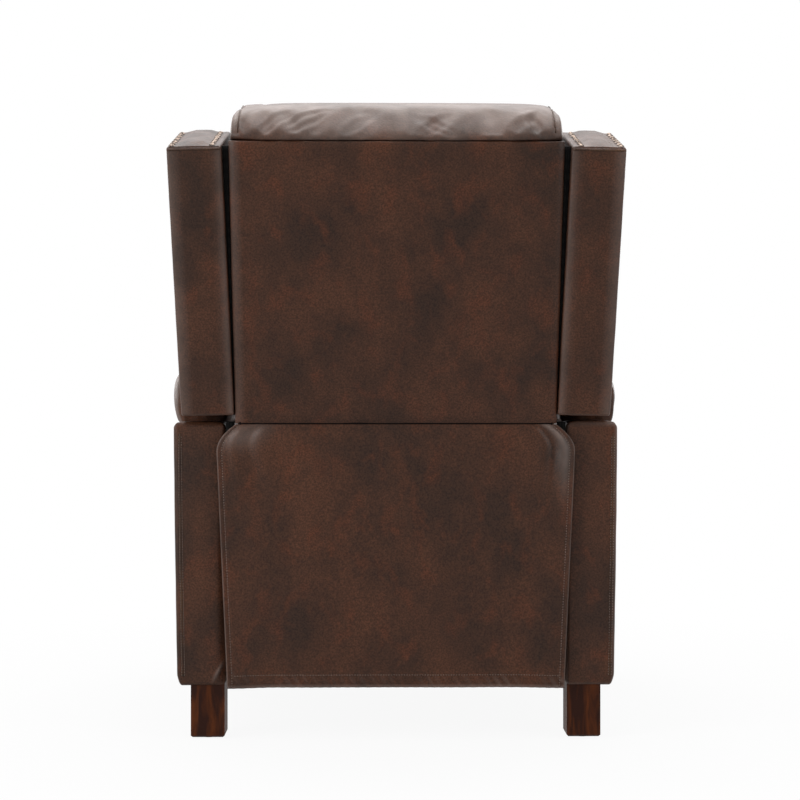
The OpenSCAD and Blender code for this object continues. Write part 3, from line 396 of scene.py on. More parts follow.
def block_surface(low, high, reach, spacing, extra):
    """Closed block with round edges: its points, outward directions, edge shares and faces."""
    cuts = [cuts_along(low[a], high[a], reach, spacing, extra[a]) for a in range(3)]
    count = [len(c) - 1 for c in cuts]
    index, points, outward, edges, faces = {}, [], [], [], []

    def corner(key):
        """Number of the point at three cuts, new the first time it is asked for."""
        if key not in index:
            p = Vector((cuts[a][key[a]] for a in range(3)))
            core = Vector((clamp(p[a], low[a] + reach, high[a] - reach) for a in range(3)))
            away = (p - core).normalized()
            index[key] = len(points)
            points.append(core + away * reach)
            outward.append(away)
            biggest = max(abs(c) for c in away)
            edges.append(min(EDGE_WEAR_MOST, EDGE_WEAR_RATE * (1 - biggest)))
        return index[key]

    for a in range(3):
        b, c = (a + 1) % 3, (a + 2) % 3
        for side in (0, count[a]):
            for i in range(count[b]):
                for j in range(count[c]):
                    quad = []
                    for di, dj in ((0, 0), (1, 0), (1, 1), (0, 1)):
                        key = [0, 0, 0]
                        key[a], key[b], key[c] = side, i + di, j + dj
                        quad.append(corner(tuple(key)))
                    faces.append(quad if side else quad[::-1])
    return points, outward, edges, faces


# Leather over padding is never quite flat: height and size of its waves
SKIN_WAVE = 0.35 * MM
SKIN_WAVE_SIZE = 45 * MM
NO_CUTS = ((), (), ())


def upholstered(
    name, low, high, reach, spacing, body, shape,
    place=None, mirror=False, seed=1.0, extra=NO_CUTS, painted_highlight=None,
):
    """Leather over a padded block: shape(point, outward) moves a point, and place() sets it in the chair."""
    points, outward, edges, faces = block_surface(low, high, reach, spacing, extra)
    # Painted highlights, where a piece has them, are laid over its edge wear
    if painted_highlight:
        edges = [max(e, painted_highlight(p, out)) for e, p, out in zip(edges, points, outward)]
    moved = []
    for p, out in zip(points, outward):
        q = shape(p, out) + out * (SKIN_WAVE * ripple(p, SKIN_WAVE_SIZE, seed))
        q = place(q) if place else q
        moved.append(Vector((-q.x, q.y, q.z)) if mirror else q)
    return piece(name, moved, faces, body, HIDE, edges)


# Smaller rings that close a stuffed form at each end, as shares of its end ring
CLOSING_SHARES = (0.2, 0.45, 0.7, 0.88)


def middle_of(ring):
    """Mean of a ring's points."""
    return sum(ring, Vector()) / len(ring)


def loft(name, rings, body):
    """Padded leather form through rings of points, closed at its two ends."""
    n = len(rings[0])
    first, last = rings[0], rings[-1]
    start, end = middle_of(first), middle_of(last)
    head = [[start.lerp(p, s) for p in first] for s in CLOSING_SHARES]
    tail = [[end.lerp(p, s) for p in last] for s in reversed(CLOSING_SHARES)]
    every = head + rings + tail
    points = [p for ring in every for p in ring]
    faces = []
    for j in range(len(every) - 1):
        for i in range(n):
            a, b = j * n + i, j * n + (i + 1) % n
            faces.append((a, b, b + n, a + n))
    points += [start, end]
    top = (len(every) - 1) * n
    for i in range(n):
        k = (i + 1) % n
        faces.append((len(points) - 2, k, i))
        faces.append((len(points) - 1, top + i, top + k))
    return piece(name, points, faces, body, HIDE, [0.0] * len(points))


# Places on each bent corner of an outline
BEND_STEPS = 12


def rounded_outline(corners, spacing):
    """Even points round a closed outline whose corners (a, b, reach) are bent over their reach."""
    path = []
    n = len(corners)
    for i, (a, b, reach) in enumerate(corners):
        at = Vector((a, b))
        back = (Vector(corners[i - 1][:2]) - at).normalized()
        onward = (Vector(corners[(i + 1) % n][:2]) - at).normalized()
        p, q = at + back * reach, at + onward * reach
        for k in range(BEND_STEPS + 1):
            t = k / BEND_STEPS
            path.append((p.lerp(at, t)).lerp(at.lerp(q, t), t))
    length = [0.0]
    for p, q in zip(path, path[1:] + path[:1]):
        length.append(length[-1] + (q - p).length)
    count = max(12, round(length[-1] / spacing))
    out, j = [], 0
    closed = path + path[:1]
    for k in range(count):
        want = length[-1] * k / count
        while length[j + 1] < want:
            j += 1
        share = (want - length[j]) / max(length[j + 1] - length[j], 1e-9)
        out.append(closed[j].lerp(closed[j + 1], share))
    return out


def round_rectangle(half_x, low, high, corner, count):
    """Even places round a rectangle with round corners, half_x to each side, from low to high."""
    return rounded_outline([
        (-half_x, low, corner), (half_x, low, corner), (half_x, high, corner), (-half_x, high, corner),
    ], 2 * (2 * half_x + high - low) / count)


def stuffed(name, corners, low, high, half, end_share, body, spacing, place=None, fall=0.4, square=3.2):
    """Cushion along X from its side outline in the YZ plane, drawn in towards its two ends.

    The ends shrink to end_share of the outline, round a core from low to high.
    """
    outline = rounded_outline(corners, spacing)
    count = max(10, round(2 * half / spacing))
    rings = []
    for j in range(count + 1):
        # Rings lie closer together near the two ends
        turn = math.radians(-90 + 180 * j / count)
        x = half * (0.55 * math.sin(turn) + 0.45 * (2 * j / count - 1))
        s = end_share + (1 - end_share) * max(1 - (abs(x) / half) ** square, 0.0) ** fall
        ring = []
        for p in outline:
            core = Vector((clamp(p[0], low[0], high[0]), clamp(p[1], low[1], high[1])))
            q = core + (p - core) * s
            point = Vector((x, q[0], q[1]))
            ring.append(place(point) if place else point)
        rings.append(ring)
    return loft(name, rings, body)


# The cloth starts a little uneven, so that it wrinkles: height and size of the waves
START_WAVE = 0.8 * MM
START_WAVE_SIZE = 30 * MM


def puff(obj, pressure, cap, hold, slack, seed, frames):
    """Blows a cushion up as cloth; hold(point) is true where it rests or is sewn; no point moves past cap."""
    mesh = obj.data
    rest = [v.co.copy() for v in mesh.vertices]
    set_places(mesh, [
        v.co + v.normal * (START_WAVE * ripple(v.co, START_WAVE_SIZE, seed)) for v in mesh.vertices])
    held = obj.vertex_groups.new(name="held")
    held.add([i for i, p in enumerate(rest) if hold(p)], 1.0, "REPLACE")
    air = obj.modifiers.new("air", "CLOTH")
    cloth = air.settings
    cloth.use_pressure = True
    cloth.uniform_pressure_force = pressure
    cloth.effector_weights.gravity = 0
    cloth.vertex_group_mass = "held"
    cloth.quality = 6
    cloth.mass = 0.4
    cloth.tension_stiffness = 18
    cloth.compression_stiffness = 18
    cloth.bending_stiffness = 1.2
    cloth.shrink_min = slack
    air.point_cache.frame_start = 1
    air.point_cache.frame_end = frames
    scene = bpy.context.scene
    for step in range(1, frames + 1):
        scene.frame_set(step)
    seen = obj.evaluated_get(bpy.context.evaluated_depsgraph_get())
    swollen = [v.co.copy() for v in seen.data.vertices]
    obj.modifiers.remove(air)
    obj.vertex_groups.remove(held)
    capped = []
    for was, now in zip(rest, swollen):
        move = now - was
        capped.append(was + move * min(1.0, cap / max(move.length, 1e-9)))
    scene.frame_set(1)
    set_places(mesh, capped)


def refine(obj):
    """One subdivision, applied."""
    divide = obj.modifiers.new("finer", "SUBSURF")
    divide.levels = divide.render_levels = 1
    seen = obj.evaluated_get(bpy.context.evaluated_depsgraph_get())
    mesh = bpy.data.meshes.new_from_object(seen)
    obj.modifiers.remove(divide)
    old = obj.data
    obj.data = mesh
    bpy.data.meshes.remove(old)
    mesh.name = obj.name


# A pressed fold: its bow as a share of its length, and its shoulders' height and place in its own widths
CREASE_BOW = 0.08
SHOULDER_HEIGHT = 0.55
SHOULDER_PLACE = 1.6


def crease(obj, folds):
    """Presses folds into a piece: each is (start, end, width, depth), with soft shoulders."""
    places = []
    for v in obj.data.vertices:
        total = 0.0
        for start, end, width, depth in folds:
            line = end - start
            t = (v.co - start).dot(line) / line.length_squared
            gap = ((v.co - start) - line * t).length
            if t < -0.05 or t > 1.05 or gap > 4 * width:
                continue
            bow = line.length * CREASE_BOW * math.sin(math.pi * t)
            side = (gap - bow) / width
            taper = math.sin(math.pi * clamp(t)) ** 0.7
            shoulders = SHOULDER_HEIGHT * bell(abs(side), SHOULDER_PLACE, 1.0)
            total += depth * taper * (shoulders - bell(side, 0.0, 1.0))
        places.append(v.co + v.normal * total)
    set_places(obj.data, places)


def tube(name, path, radius, body, material, sides=6, closed=False):
    """Round cord of leather, thread or wire along a path."""
    points, faces, n = [], [], len(path)
    for i, p in enumerate(path):
        before = path[i - 1] if i or closed else p
        after = path[(i + 1) % n] if i < n - 1 or closed else p
        along = (after - before).normalized()
        side = along.orthogonal() if i == 0 else (side - along * side.dot(along))
        side.normalize()
        other = along.cross(side)
        for k in range(sides):
            a = 2 * math.pi * k / sides
            points.append(p + (side * math.cos(a) + other * math.sin(a)) * radius)
    for i in range(n if closed else n - 1):
        for k in range(sides):
            a, b = i * sides + k, i * sides + (k + 1) % sides
            c, d = ((i + 1) % n) * sides + k, ((i + 1) % n) * sides + (k + 1) % sides
            faces.append((a, b, d, c))
    if not closed:
        faces.append(tuple(range(sides - 1, -1, -1)))
        faces.append(tuple((n - 1) * sides + k for k in range(sides)))
    return piece(name, points, faces, body, material, None)


WELT_SIDES = 8
# Pitch of the sewing, and the rings of one stitch: share along it, its width and its rise
STITCH_PITCH = 4.4 * MM
STITCH_RINGS = ((0.0, 0.3, -0.3), (0.25, 1.0, 0.6), (0.75, 1.0, 0.6), (1.0, 0.3, -0.3))
STITCH_SIDES = 5


def stitches(name, path, body, radius, share=0.56):
    """Row of separate stitches along a path on the chair's rear: each a short bar, sunk at both ends."""
    length = [0.0]
    for p, q in zip(path, path[1:]):
        length.append(length[-1] + (q - p).length)

    def at(want):
        """Point of the path at a length along it."""
        want = clamp(want, 0.0, length[-1])
        j = next(i for i in range(len(path) - 1) if length[i + 1] >= want - 1e-9)
        return path[j].lerp(path[j + 1], (want - length[j]) / max(length[j + 1] - length[j], 1e-9))

    points, faces = [], []
    n = STITCH_SIDES
    for k in range(int(length[-1] / STITCH_PITCH)):
        start, end = at((k + 0.5 - share / 2) * STITCH_PITCH), at((k + 0.5 + share / 2) * STITCH_PITCH)
        up = Vector((0, 1, 0))
        side = (end - start).normalized().cross(up).normalized()
        base = len(points)
        for t, wide, high in STITCH_RINGS:
            centre = start.lerp(end, t) + up * (radius * high)
            for m in range(n):
                a = 2 * math.pi * m / n
                points.append(centre + (side * math.cos(a) + up * math.sin(a)) * (radius * wide))
        for j in range(len(STITCH_RINGS) - 1):
            for m in range(n):
                a, b = base + j * n + m, base + j * n + (m + 1) % n
                faces.append((a, b, b + n, a + n))
        faces.append(tuple(base + m for m in range(n - 1, -1, -1)))
        faces.append(tuple(base + (len(STITCH_RINGS) - 1) * n + m for m in range(n)))
    return piece(name, points, faces, body, THREAD)


def welted_seam(obj, name, rays, radius, body, depth, width):
    """Welt sunk into a cushion along the places where rays from outside meet it."""
    mesh = obj.data
    skin = BVHTree.FromPolygons(
        [v.co.copy() for v in mesh.vertices], [tuple(f.vertices) for f in mesh.polygons])
    hits = [skin.ray_cast(start, way) for start, way in rays]
    hits = [hit[:2] for hit in hits if hit[0] is not None]
    line = KDTree(len(hits))
    for i, (at, normal) in enumerate(hits):
        line.insert(at, i)
    line.balance()
    sunk = []
    for v in mesh.vertices:
        distance = line.find(v.co)[2]
        sunk.append(v.co - v.normal * depth * bell(distance, 0.0, width))
    set_places(mesh, sunk)
    path = [at - normal * (depth - 0.7 * radius) for at, normal in hits]
    tube(name, path, radius, body, WELT, WELT_SIDES, closed=True)


def sheet_faces(columns, rows, turned=False):
    """Faces of a sheet of two layers, each of columns by rows points, and of the rim between them.

    Turned faces look the other way, and are still cut into triangles along the same diagonal."""
    faces = []
    layer = columns * rows
    for j in range(rows - 1):
        for i in range(columns - 1):
            a = j * columns + i
            b = a + layer
            pair = (a, a + columns, a + columns + 1, a + 1), (b, b + 1, b + columns + 1, b + columns)
            faces += [face[:1] + face[:0:-1] for face in pair] if turned else pair
    rim = list(range(columns)) + [j * columns + columns - 1 for j in range(1, rows)]
    rim += [(rows - 1) * columns + i for i in range(columns - 2, -1, -1)]
    rim += [j * columns for j in range(rows - 2, 0, -1)]
    for a, b in zip(rim, rim[1:] + rim[:1]):
        face = a, b, b + layer, a + layer
        faces.append(face[::-1] if turned else face)
    return faces


# Outer back panel: leather over thin foam on a board, its edges rolled forward
PANEL_ROLL = 13 * MM
PANEL_DEPTH = 10 * MM
PANEL_SWELL = 3.2 * MM
PANEL_HIGHLIGHT_WIDTH = 6 * MM


def panel_shape(p, out):
    """Rolls the panel's edges forward and swells its middle."""
    q = p.copy()
    to_edge = min(PANEL_HALF - abs(p.x), p.z + 6 * MM, PANEL_HEIGHT + 3 * MM - p.z)
    roll = 1 - math.sqrt(max(0.0, 1 - (1 - min(to_edge / PANEL_ROLL, 1.0)) ** 2))
    swell = PANEL_SWELL * crown(p.x / PANEL_HALF, 4) * crown(2 * p.z / PANEL_HEIGHT - 1, 4)
    rear = clamp((p.y + PANEL_DEPTH) / PANEL_DEPTH)
    q.y += rear * (swell - 0.86 * PANEL_DEPTH * roll)
    return q


panel = upholstered(
    "outer_back_leather", Vector((-PANEL_HALF, -PANEL_DEPTH, -4 * MM)), Vector((PANEL_HALF, 0, PANEL_HEIGHT)),
    reach=2 * MM, spacing=9 * MM, body="back", shape=panel_shape, place=on_back, seed=3.1,
)
# Painted highlight down the panel's +X edge, where its roll faces the camera-left softbox; it replaces the
# panel's edge wear
paint_highlight(panel, lambda p: 0.32 * bell(p.x, PANEL_HALF - PANEL_HIGHLIGHT_WIDTH, PANEL_HIGHLIGHT_WIDTH))
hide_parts("outer_back_panel")

# Wings
WING_STEPS = 9 * MM
WING_FOOT = 11.4 * MM
WING_SOFT = 5 * MM
WING_FOOT_DEPTH = 119 * MM
WING_HEAD_DEPTH = 190 * MM
WING_BELLY = 55 * MM
# Height of the padding between the two rows of nails, behind, in front and on the sides
WING_TOP_CROWN = 5.5 * MM
WING_REAR_CROWN = 3.2 * MM
WING_FRONT_CROWN = 4.5 * MM
WING_SIDE_CROWN = 2.2 * MM
# The seam along the rear edge of the top: its angle round that edge in degrees, half width and depth
WING_SEAM_ANGLE = 56
WING_SEAM_WIDTH = 10
WING_SEAM_DEPTH = 2.6 * MM
WING_BEAD = 1.6 * MM


def wing_depth(s):
    """Depth of a wing at share s of its height: it swells forward above the arm."""
    grown = WING_FOOT_DEPTH + (WING_HEAD_DEPTH - WING_FOOT_DEPTH) * s
    return grown + WING_BELLY * math.sin(math.pi * max(s, 0.0) ** 1.3)


def wing_shape(p, out):
    """Shapes the block of a wing: its swelling front edge, crowned faces and top seam."""
    s = clamp((p.z - WING_FOOT) / (WING_TOP - WING_FOOT))
    depth = wing_depth(s)
    u = (p.x - WING_MIDDLE) / (WING_THICK / 2)
    q = p.copy()
    span = WING_HEAD_DEPTH - 2 * WING_SOFT
    inner = clamp((-p.y - WING_SOFT) / span)
    q.y = p.y - (depth - WING_HEAD_DEPTH) * inner
    q.z += q.y * math.tan(RAKE) * (1 - s)
    t = -q.y / depth
    top = max(out.z, 0.0) ** 2
    rear = max(out.y, 0.0) ** 2
    front = max(-out.y, 0.0) ** 2
    # Between the two rows of nails the leather is crowned; outside them it lies flat
    band = smooth_step(-0.62, -0.22, u) * (1 - smooth_step(0.28, 0.74, u))
    crest = band * smooth_step(0.0, 0.16, t) * (1 - 0.35 * smooth_step(0.9, 1.0, t))
    q.z += top * (WING_TOP_CROWN * crest - 0.6 * MM)
    if out.z > 0 and out.y > 0 and abs(out.x) < 0.3:
        angle = math.degrees(math.atan2(out.z, out.y))
        q -= out * WING_SEAM_DEPTH * bell(angle, WING_SEAM_ANGLE, WING_SEAM_WIDTH)
    q.y += rear * WING_REAR_CROWN * crown(u, 2.4) * crown(2 * s - 1, 6)
    q.y -= front * WING_FRONT_CROWN * band * crown(2 * s - 1, 8)
    sign = 1 if out.x > 0 else -1
    q.x += out.x ** 2 * sign * WING_SIDE_CROWN * crown(2 * s - 1, 4) * crown(2 * t - 1, 3)
    return q


def wing_highlight(p, out):
    """Painted highlight down the two upright edges of a wing's rear face, wider on the outer one, where their
    rounding would catch the light.
    """
    u = (p.x - WING_MIDDLE) / (WING_THICK / 2)
    reach = smooth_step(0.42, 1.0, u) if u > 0 else smooth_step(0.58, 1.0, -u)
    return 0.5 * reach * max(out.y, 0.0) ** 2


def wing_bead(sign):
    """Path of the turned edge under a wing's top seam, bent down at its two ends."""
    steps = 30
    inset = 2.5 * MM
    bead = []
    for k in range(steps + 1):
        x = WING_IN + inset + (WING_THICK - 2 * inset) * k / steps
        end = WING_BEAD * max(0.0, abs(2 * k / steps - 1) - 0.94) / 0.06
        bead.append(mirrored(on_wing, sign)(Vector((x, 0.1 * MM - end, WING_TOP - 5.2 * MM - 0.4 * end))))
    return bead


for side_name, mirror, seed in (("left", False, 5.2), ("right", True, 8.7)):
    wing = upholstered(
        side_name + "_wing_leather", Vector((WING_IN, -WING_HEAD_DEPTH, WING_FOOT)),
        Vector((WING_IN + WING_THICK, 0, WING_TOP)), WING_SOFT, WING_STEPS, "back", wing_shape,
        place=on_wing, mirror=mirror, seed=seed, painted_highlight=wing_highlight,
    )
    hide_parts(side_name + "_wing_cover")
    tube(side_name + "_wing_turned_edge", wing_bead(-1 if mirror else 1), WING_BEAD, "back", WELT, WELT_SIDES)

# Painted shade: black cloth fills the gap beside the panel, and the hole above the flap's corner, so that
# both read as deep shade
SHADE_CLOTH_COLUMNS = 5
SHADE_CLOTH_STEPS = 40
SHADE_CLOTH_SAG = 0.5 * MM
# The gap beside the panel in the back's leaning frame, and its cloth's two layers
GAP_FOOT = 14 * MM
GAP_HEAD = 460 * MM
GAP_INNER = 263 * MM
GAP_LAYERS = (-11.2 * MM, -12.4 * MM)
# The same of the hole above the flap's corner, in the chair's frame
HOLE_FOOT = 470 * MM
HOLE_HEAD = 535.5 * MM
HOLE_INNER = 271.6 * MM
HOLE_OUTER = 286.6 * MM
HOLE_LAYERS = (311.6 * MM, 310.4 * MM)


def shade_cloth_strip(name, low, high, inner, outer, layers, body, place):
    """Narrow strip of black cloth between two upright edges, each given as x at a height, standing in for the
    shade in a gap.
    """
    points = []
    for layer in layers:
        for k in range(SHADE_CLOTH_STEPS + 1):
            z = low + (high - low) * k / SHADE_CLOTH_STEPS
            for j in range(SHADE_CLOTH_COLUMNS):
                across = j / (SHADE_CLOTH_COLUMNS - 1)
                sag = SHADE_CLOTH_SAG * ripple(Vector((0, 0, z)), 50 * MM, 51.0) * crown(2 * across - 1)
                x = inner(z) + (outer(z) - inner(z)) * across
                points.append(place(Vector((x, layer + sag, z))))
    faces = sheet_faces(SHADE_CLOTH_COLUMNS, SHADE_CLOTH_STEPS + 1, turned=True)
    shade_cloth = piece(name, points, faces, body, DUST_CLOTH, None)
    wide = max(outer(low) - inner(low), outer(high) - inner(high))


def wing_edge(z):
    """Where the wing's inner side stands at a height up the back."""
    return WING_IN - 0.6 * MM + z * math.tan(WING_LEAN)


for side_name, sign in (("left", 1), ("right", -1)):
    shade_cloth_strip(
        side_name + "_gap_shade_cloth", GAP_FOOT, GAP_HEAD, lambda z: GAP_INNER, wing_edge,
        GAP_LAYERS, "back", mirrored(on_back, sign),
    )
    shade_cloth_strip(
        side_name + "_corner_shade_cloth", HOLE_FOOT, HOLE_HEAD, lambda z: HOLE_INNER, lambda z: HOLE_OUTER,
        HOLE_LAYERS, "base", mirrored(Vector, sign),
    )

# Arms
ARM_SOFT = 7 * MM
ARM_STEPS = 11 * MM
ARM_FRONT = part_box("left_arm_cover")[0].y
ARM_BOTTOM = LEG_HEIGHT - 2.5 * MM
ARM_TAPER = 6 * MM
ARM_REAR_CROWN = 2.6 * MM
ARM_SIDE_CROWN = 2.4 * MM
ARM_SLACK = 3.5 * MM
ARM_CORNER_WORN = 3.5 * MM
# Padding between the roll's rear end and the wing
LEFT_STUMP = 4 * MM
RIGHT_STUMP = 6 * MM
PAD_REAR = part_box("left_arm_pad")[1].y
# Corner fold of the left arm: its middle, slant, half width and half length
FOLD_X = 299.5 * MM
FOLD_Z = 114.5 * MM
FOLD_SLANT = (0.48, 0.877)
FOLD_WIDTH = 2.4 * MM
FOLD_LENGTH = 15 * MM
FOLD_DEPTH = 3.0 * MM
# Finer cuts across and up where that fold lies
ARM_CUTS = (
    tuple(295.5 * MM + 2.5 * MM * k for k in range(9)), (), tuple(98 * MM + 3 * MM * k for k in range(14)),
)


def corner_fold(p):
    """Share of the fold near the left arm's lower inner corner."""
    a, b = FOLD_SLANT
    along = a * (p.x - FOLD_X) - b * (p.z - FOLD_Z)
    across = b * (p.x - FOLD_X) + a * (p.z - FOLD_Z)
    return bell(across, 0.0, FOLD_WIDTH) * bell(along, 0.0, FOLD_LENGTH)


def arm_shape(p, out, right=False):
    """Shapes the block of an arm; the photographed left and right arms differ a little."""
    q = p.copy()
    s = (p.z - LEG_HEIGHT) / (ARM_TOP - LEG_HEIGHT)
    u = (p.x - ARM_MIDDLE) / ((ARM_OUT - ARM_IN) / 2)
    t = (p.y - ARM_FRONT) / (ARM_REAR - ARM_FRONT)
    rear = max(out.y, 0.0) ** 2
    outside = max(out.x, 0.0) ** 2
    q.y += rear * ARM_REAR_CROWN * crown(u, 2.5) * crown(2 * s - 1, 6)
    q.x += outside * ARM_SIDE_CROWN * crown(2 * s - 1, 3) * crown(2 * t - 1, 4)
    # Behind the roll the top is padded up towards the wing
    stump = smooth_step(PAD_REAR + 6 * MM, PAD_REAR + 24 * MM, p.y) * max(out.z, 0.0) ** 2
    q.z += stump * (RIGHT_STUMP if right else LEFT_STUMP) * crown(u, 5)
    # The side narrows a little towards the floor
    q.x -= max(u, 0.0) * ARM_TAPER * clamp(1 - s) ** 1.3 * smooth_step(0.0, 0.25, t)
    if not right:
        # The left arm is slack along its lower inner edge, with a fold at the corner
        slack = rear * smooth_step(-0.62, -1.0, u) * (1 - smooth_step(0.35, 0.8, s)) if u < -0.62 else 0.0
        q.y += rear * FOLD_DEPTH * corner_fold(p) - ARM_SLACK * slack
    # The lower rear corner of either arm is worn round
    low_corner = (1 - smooth_step(0.0, 0.05, s)) ** 2 * smooth_step(0.4, 1.0, u) * smooth_step(0.9, 1.0, t)
    q.x -= ARM_CORNER_WORN * low_corner
    return q


for side_name, mirror, seed in (("left", False, 11.4), ("right", True, 14.9)):
    arm = upholstered(
        side_name + "_arm_leather", Vector((ARM_IN, ARM_FRONT, ARM_BOTTOM)),
        Vector((ARM_OUT, ARM_REAR, ARM_TOP)), ARM_SOFT, ARM_STEPS, "base",
        partial(arm_shape, right=mirror), mirror=mirror, seed=seed, extra=ARM_CUTS,
    )
    if not mirror:
        # Painted highlight along the ridge of the left arm's corner fold, in place of its edge wear
        paint_highlight(arm, lambda p: 0.9 * corner_fold(p) if p.y > ARM_REAR - 14 * MM else 0.0)
    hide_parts(side_name + "_arm_cover")

# Rolled arm pads
pad_low, pad_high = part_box("left_arm_pad")
PAD_X = (pad_low.x + pad_high.x) / 2
PAD_HALF = (pad_high.x - pad_low.x) / 2
PAD_LOW = ARM_TOP + 0.3 * MM
PAD_HIGH = 635 * MM
PAD_TALL = PAD_HIGH - PAD_LOW
PAD_FRONT = pad_low.y
PAD_STEPS = 60
PAD_SAG = 1.5 * MM
PAD_TAPER_LENGTH = 70 * MM


def arm_pad_outline():
    """Section of a roll: flat where it lies on the arm, full at the sides and top."""
    belly = PAD_LOW + 0.34 * PAD_TALL
    shoulder = PAD_HIGH - 0.14 * PAD_TALL
    return rounded_outline([
        (-0.80 * PAD_HALF, PAD_LOW, 0.10 * PAD_HALF), (0.84 * PAD_HALF, PAD_LOW - 3 * MM, 0.10 * PAD_HALF),
        (1.0 * PAD_HALF, belly, 0.4 * PAD_HALF), (0.92 * PAD_HALF, shoulder, 0.5 * PAD_HALF),
        (0.0, PAD_HIGH + 0.03 * PAD_TALL, 0.6 * PAD_HALF), (-0.92 * PAD_HALF, shoulder, 0.5 * PAD_HALF),
        (-1.0 * PAD_HALF, belly, 0.4 * PAD_HALF),
    ], 8 * MM)


def arm_pad(side_name, mirror):
    """Roll along an arm's top, drawn in behind; the photographed right one is fuller there."""
    sign = -1 if mirror else 1
    taper = 0.16 if mirror else 0.34
    outline = arm_pad_outline()
    rings = []
    for j in range(PAD_STEPS + 1):
        t = j / PAD_STEPS
        y = PAD_REAR + (PAD_FRONT - PAD_REAR) * t
        near_rear = max(0.0, 1 - (PAD_REAR - y) / PAD_TAPER_LENGTH)
        s = (1 - taper * near_rear ** 3) * (1 - 0.02 * bell(y, PAD_FRONT, 12 * MM))
        sag = PAD_SAG * math.sin(2.1 * math.pi * t)
        ring = []
        for across, z in outline:
            up = z - PAD_LOW
            x = sign * (PAD_X + across * (0.25 + 0.75 * s))
            ring.append(Vector((x, y, PAD_LOW + up * s + sag * up / PAD_TALL)))
        rings.append(ring[::-1] if mirror else ring)
    obj = loft(side_name + "_arm_roll", rings, "base")
    sewn = 4 * MM
    puff(
        obj, pressure=3.0, cap=5 * MM, hold=lambda p: p.z < PAD_LOW + sewn or p.y < PAD_FRONT + sewn,
        slack=-0.015, seed=3.0, frames=14,
    )
    refine(obj)
    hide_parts(side_name + "_arm_pad")


for side_name, mirror in (("left", False), ("right", True)):
    arm_pad(side_name, mirror)

# Arm fronts: keyhole-shaped padded panels with a welt round them
FRONT_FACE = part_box("left_arm_front")[0].y
FRONT_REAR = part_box("left_arm_front")[1].y
FRONT_EDGE = 5 * MM
FRONT_SWELL = 4 * MM
FRONT_COLUMNS = 32
FRONT_REAR_COLUMNS = 8
ROLL_CENTRE = ARM_TOP + (PAD_HIGH - ARM_TOP) / 2


def front_span(z):
    """Inner and outer edge of an arm's front at a height: the arm's straight sides, then the round roll."""
    drop = abs(z - ROLL_CENTRE)
    roll = math.sqrt(max(PAD_HALF**2 - drop**2, 0.0))
    if z > ARM_TOP:
        return PAD_X - max(roll, 0.6 * MM), PAD_X + max(roll, 0.6 * MM)
    if drop < PAD_HALF:
        return min(ARM_IN, PAD_X - roll), max(ARM_OUT, PAD_X + roll)
    return ARM_IN, ARM_OUT


def front_rows():
    """Heights of an arm front's rings: even up the straight part, closer round the roll."""
    rows = [LEG_HEIGHT + 1.5 * MM]
    while rows[-1] < ROLL_CENTRE - 52 * MM:
        rows.append(rows[-1] + 9 * MM)
    rows += [ROLL_CENTRE + PAD_HALF * math.sin(math.radians(a)) for a in range(-50, 90, 5)]
    return sorted(rows)


def arm_front(side_name, sign):
    """Padded panel over the front end of an arm and its roll."""
    rows = front_rows()
    top = rows[-1]
    middle_y = FRONT_FACE + (FRONT_REAR - FRONT_FACE) / 2
    rings, inner, outer = [], [], []
    for z in rows:
        x0, x1 = front_span(z)
        half, centre = (x1 - x0) / 2, (x0 + x1) / 2
        low = smooth_step(LEG_HEIGHT, LEG_HEIGHT + 40 * MM, z) * (1 - smooth_step(top - 25 * MM, top, z))
        ring = []
        for k in range(FRONT_COLUMNS + 1):
            u = -1 + 2 * k / FRONT_COLUMNS
            roll = 1 - min((1 - abs(u)) * half / FRONT_EDGE, 1.0)
            back_off = 4.5 * MM * (1 - math.sqrt(max(1 - roll**2, 0.0)))
            swell = FRONT_SWELL * low * crown(min(abs(u) * 1.25, 1.0), 2)
            ring.append(Vector((sign * (centre + u * half), FRONT_FACE + back_off + 1.2 * MM - swell, z)))
        for k in range(FRONT_REAR_COLUMNS, -1, -1):
            u = -1 + 2 * k / FRONT_REAR_COLUMNS
            ring.append(Vector((sign * (centre + u * half), FRONT_REAR, z)))
        rings.append(ring)
        inner.append(Vector((sign * x0, middle_y, z)))
        outer.append(Vector((sign * x1, middle_y, z)))
    obj = loft(side_name + "_arm_front_leather", rings, "base")
    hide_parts(side_name + "_arm_front")
    tube(side_name + "_arm_front_welt", inner + outer[::-1], 2.6 * MM, "base", WELT, WELT_SIDES)


arm_front("left", 1)
arm_front("right", -1)

# Head pillow
BACK_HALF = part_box("back_cushion")[1].x
POST_FRONT = -56.5 * MM
CUSHION_REAR = POST_FRONT - 4.1 * MM
PILLOW_DEPTH = 166 * MM
PILLOW_FRONT = CUSHION_REAR - PILLOW_DEPTH
PILLOW_LOW = PANEL_HEIGHT - 180 * MM
PILLOW_HIGH = PANEL_HEIGHT + 39 * MM
LIP = PANEL_HEIGHT + 0.4 * MM
PILLOW_END = PANEL_HALF - 13 * MM
PILLOW_SEAM = PANEL_HALF - 15 * MM
# In the chair's frame: where the pillow is sewn to the panel's lip, and the height below which it is held
SEWN_BEHIND = 430 * MM
SEWN_BELOW = 992 * MM
PILLOW_HELD_BELOW = 830 * MM
# Where over its top the painted sheen, with some pull-up paling, starts, and where it is strongest
PALE_FROM = 300 * MM
PALE_FULL = 400 * MM
# Folds over the pillow's rear in mm: from one x and height to another, then width and depth
PILLOW_FOLDS = (
    (225, 476, 165, 515, 5, 1.8), (200, 474, 100, 520, 5, 1.8), (90, 480, 30, 517, 5, 1.6),
    (-30, 474, -100, 505, 6, 1.9), (-100, 478, -20, 500, 5, 1.4), (-240, 474, -200, 510, 5, 1.9),
    (-170, 478, -235, 505, 5, 1.5), (245, 480, 235, 510, 4.5, 1.6),
)


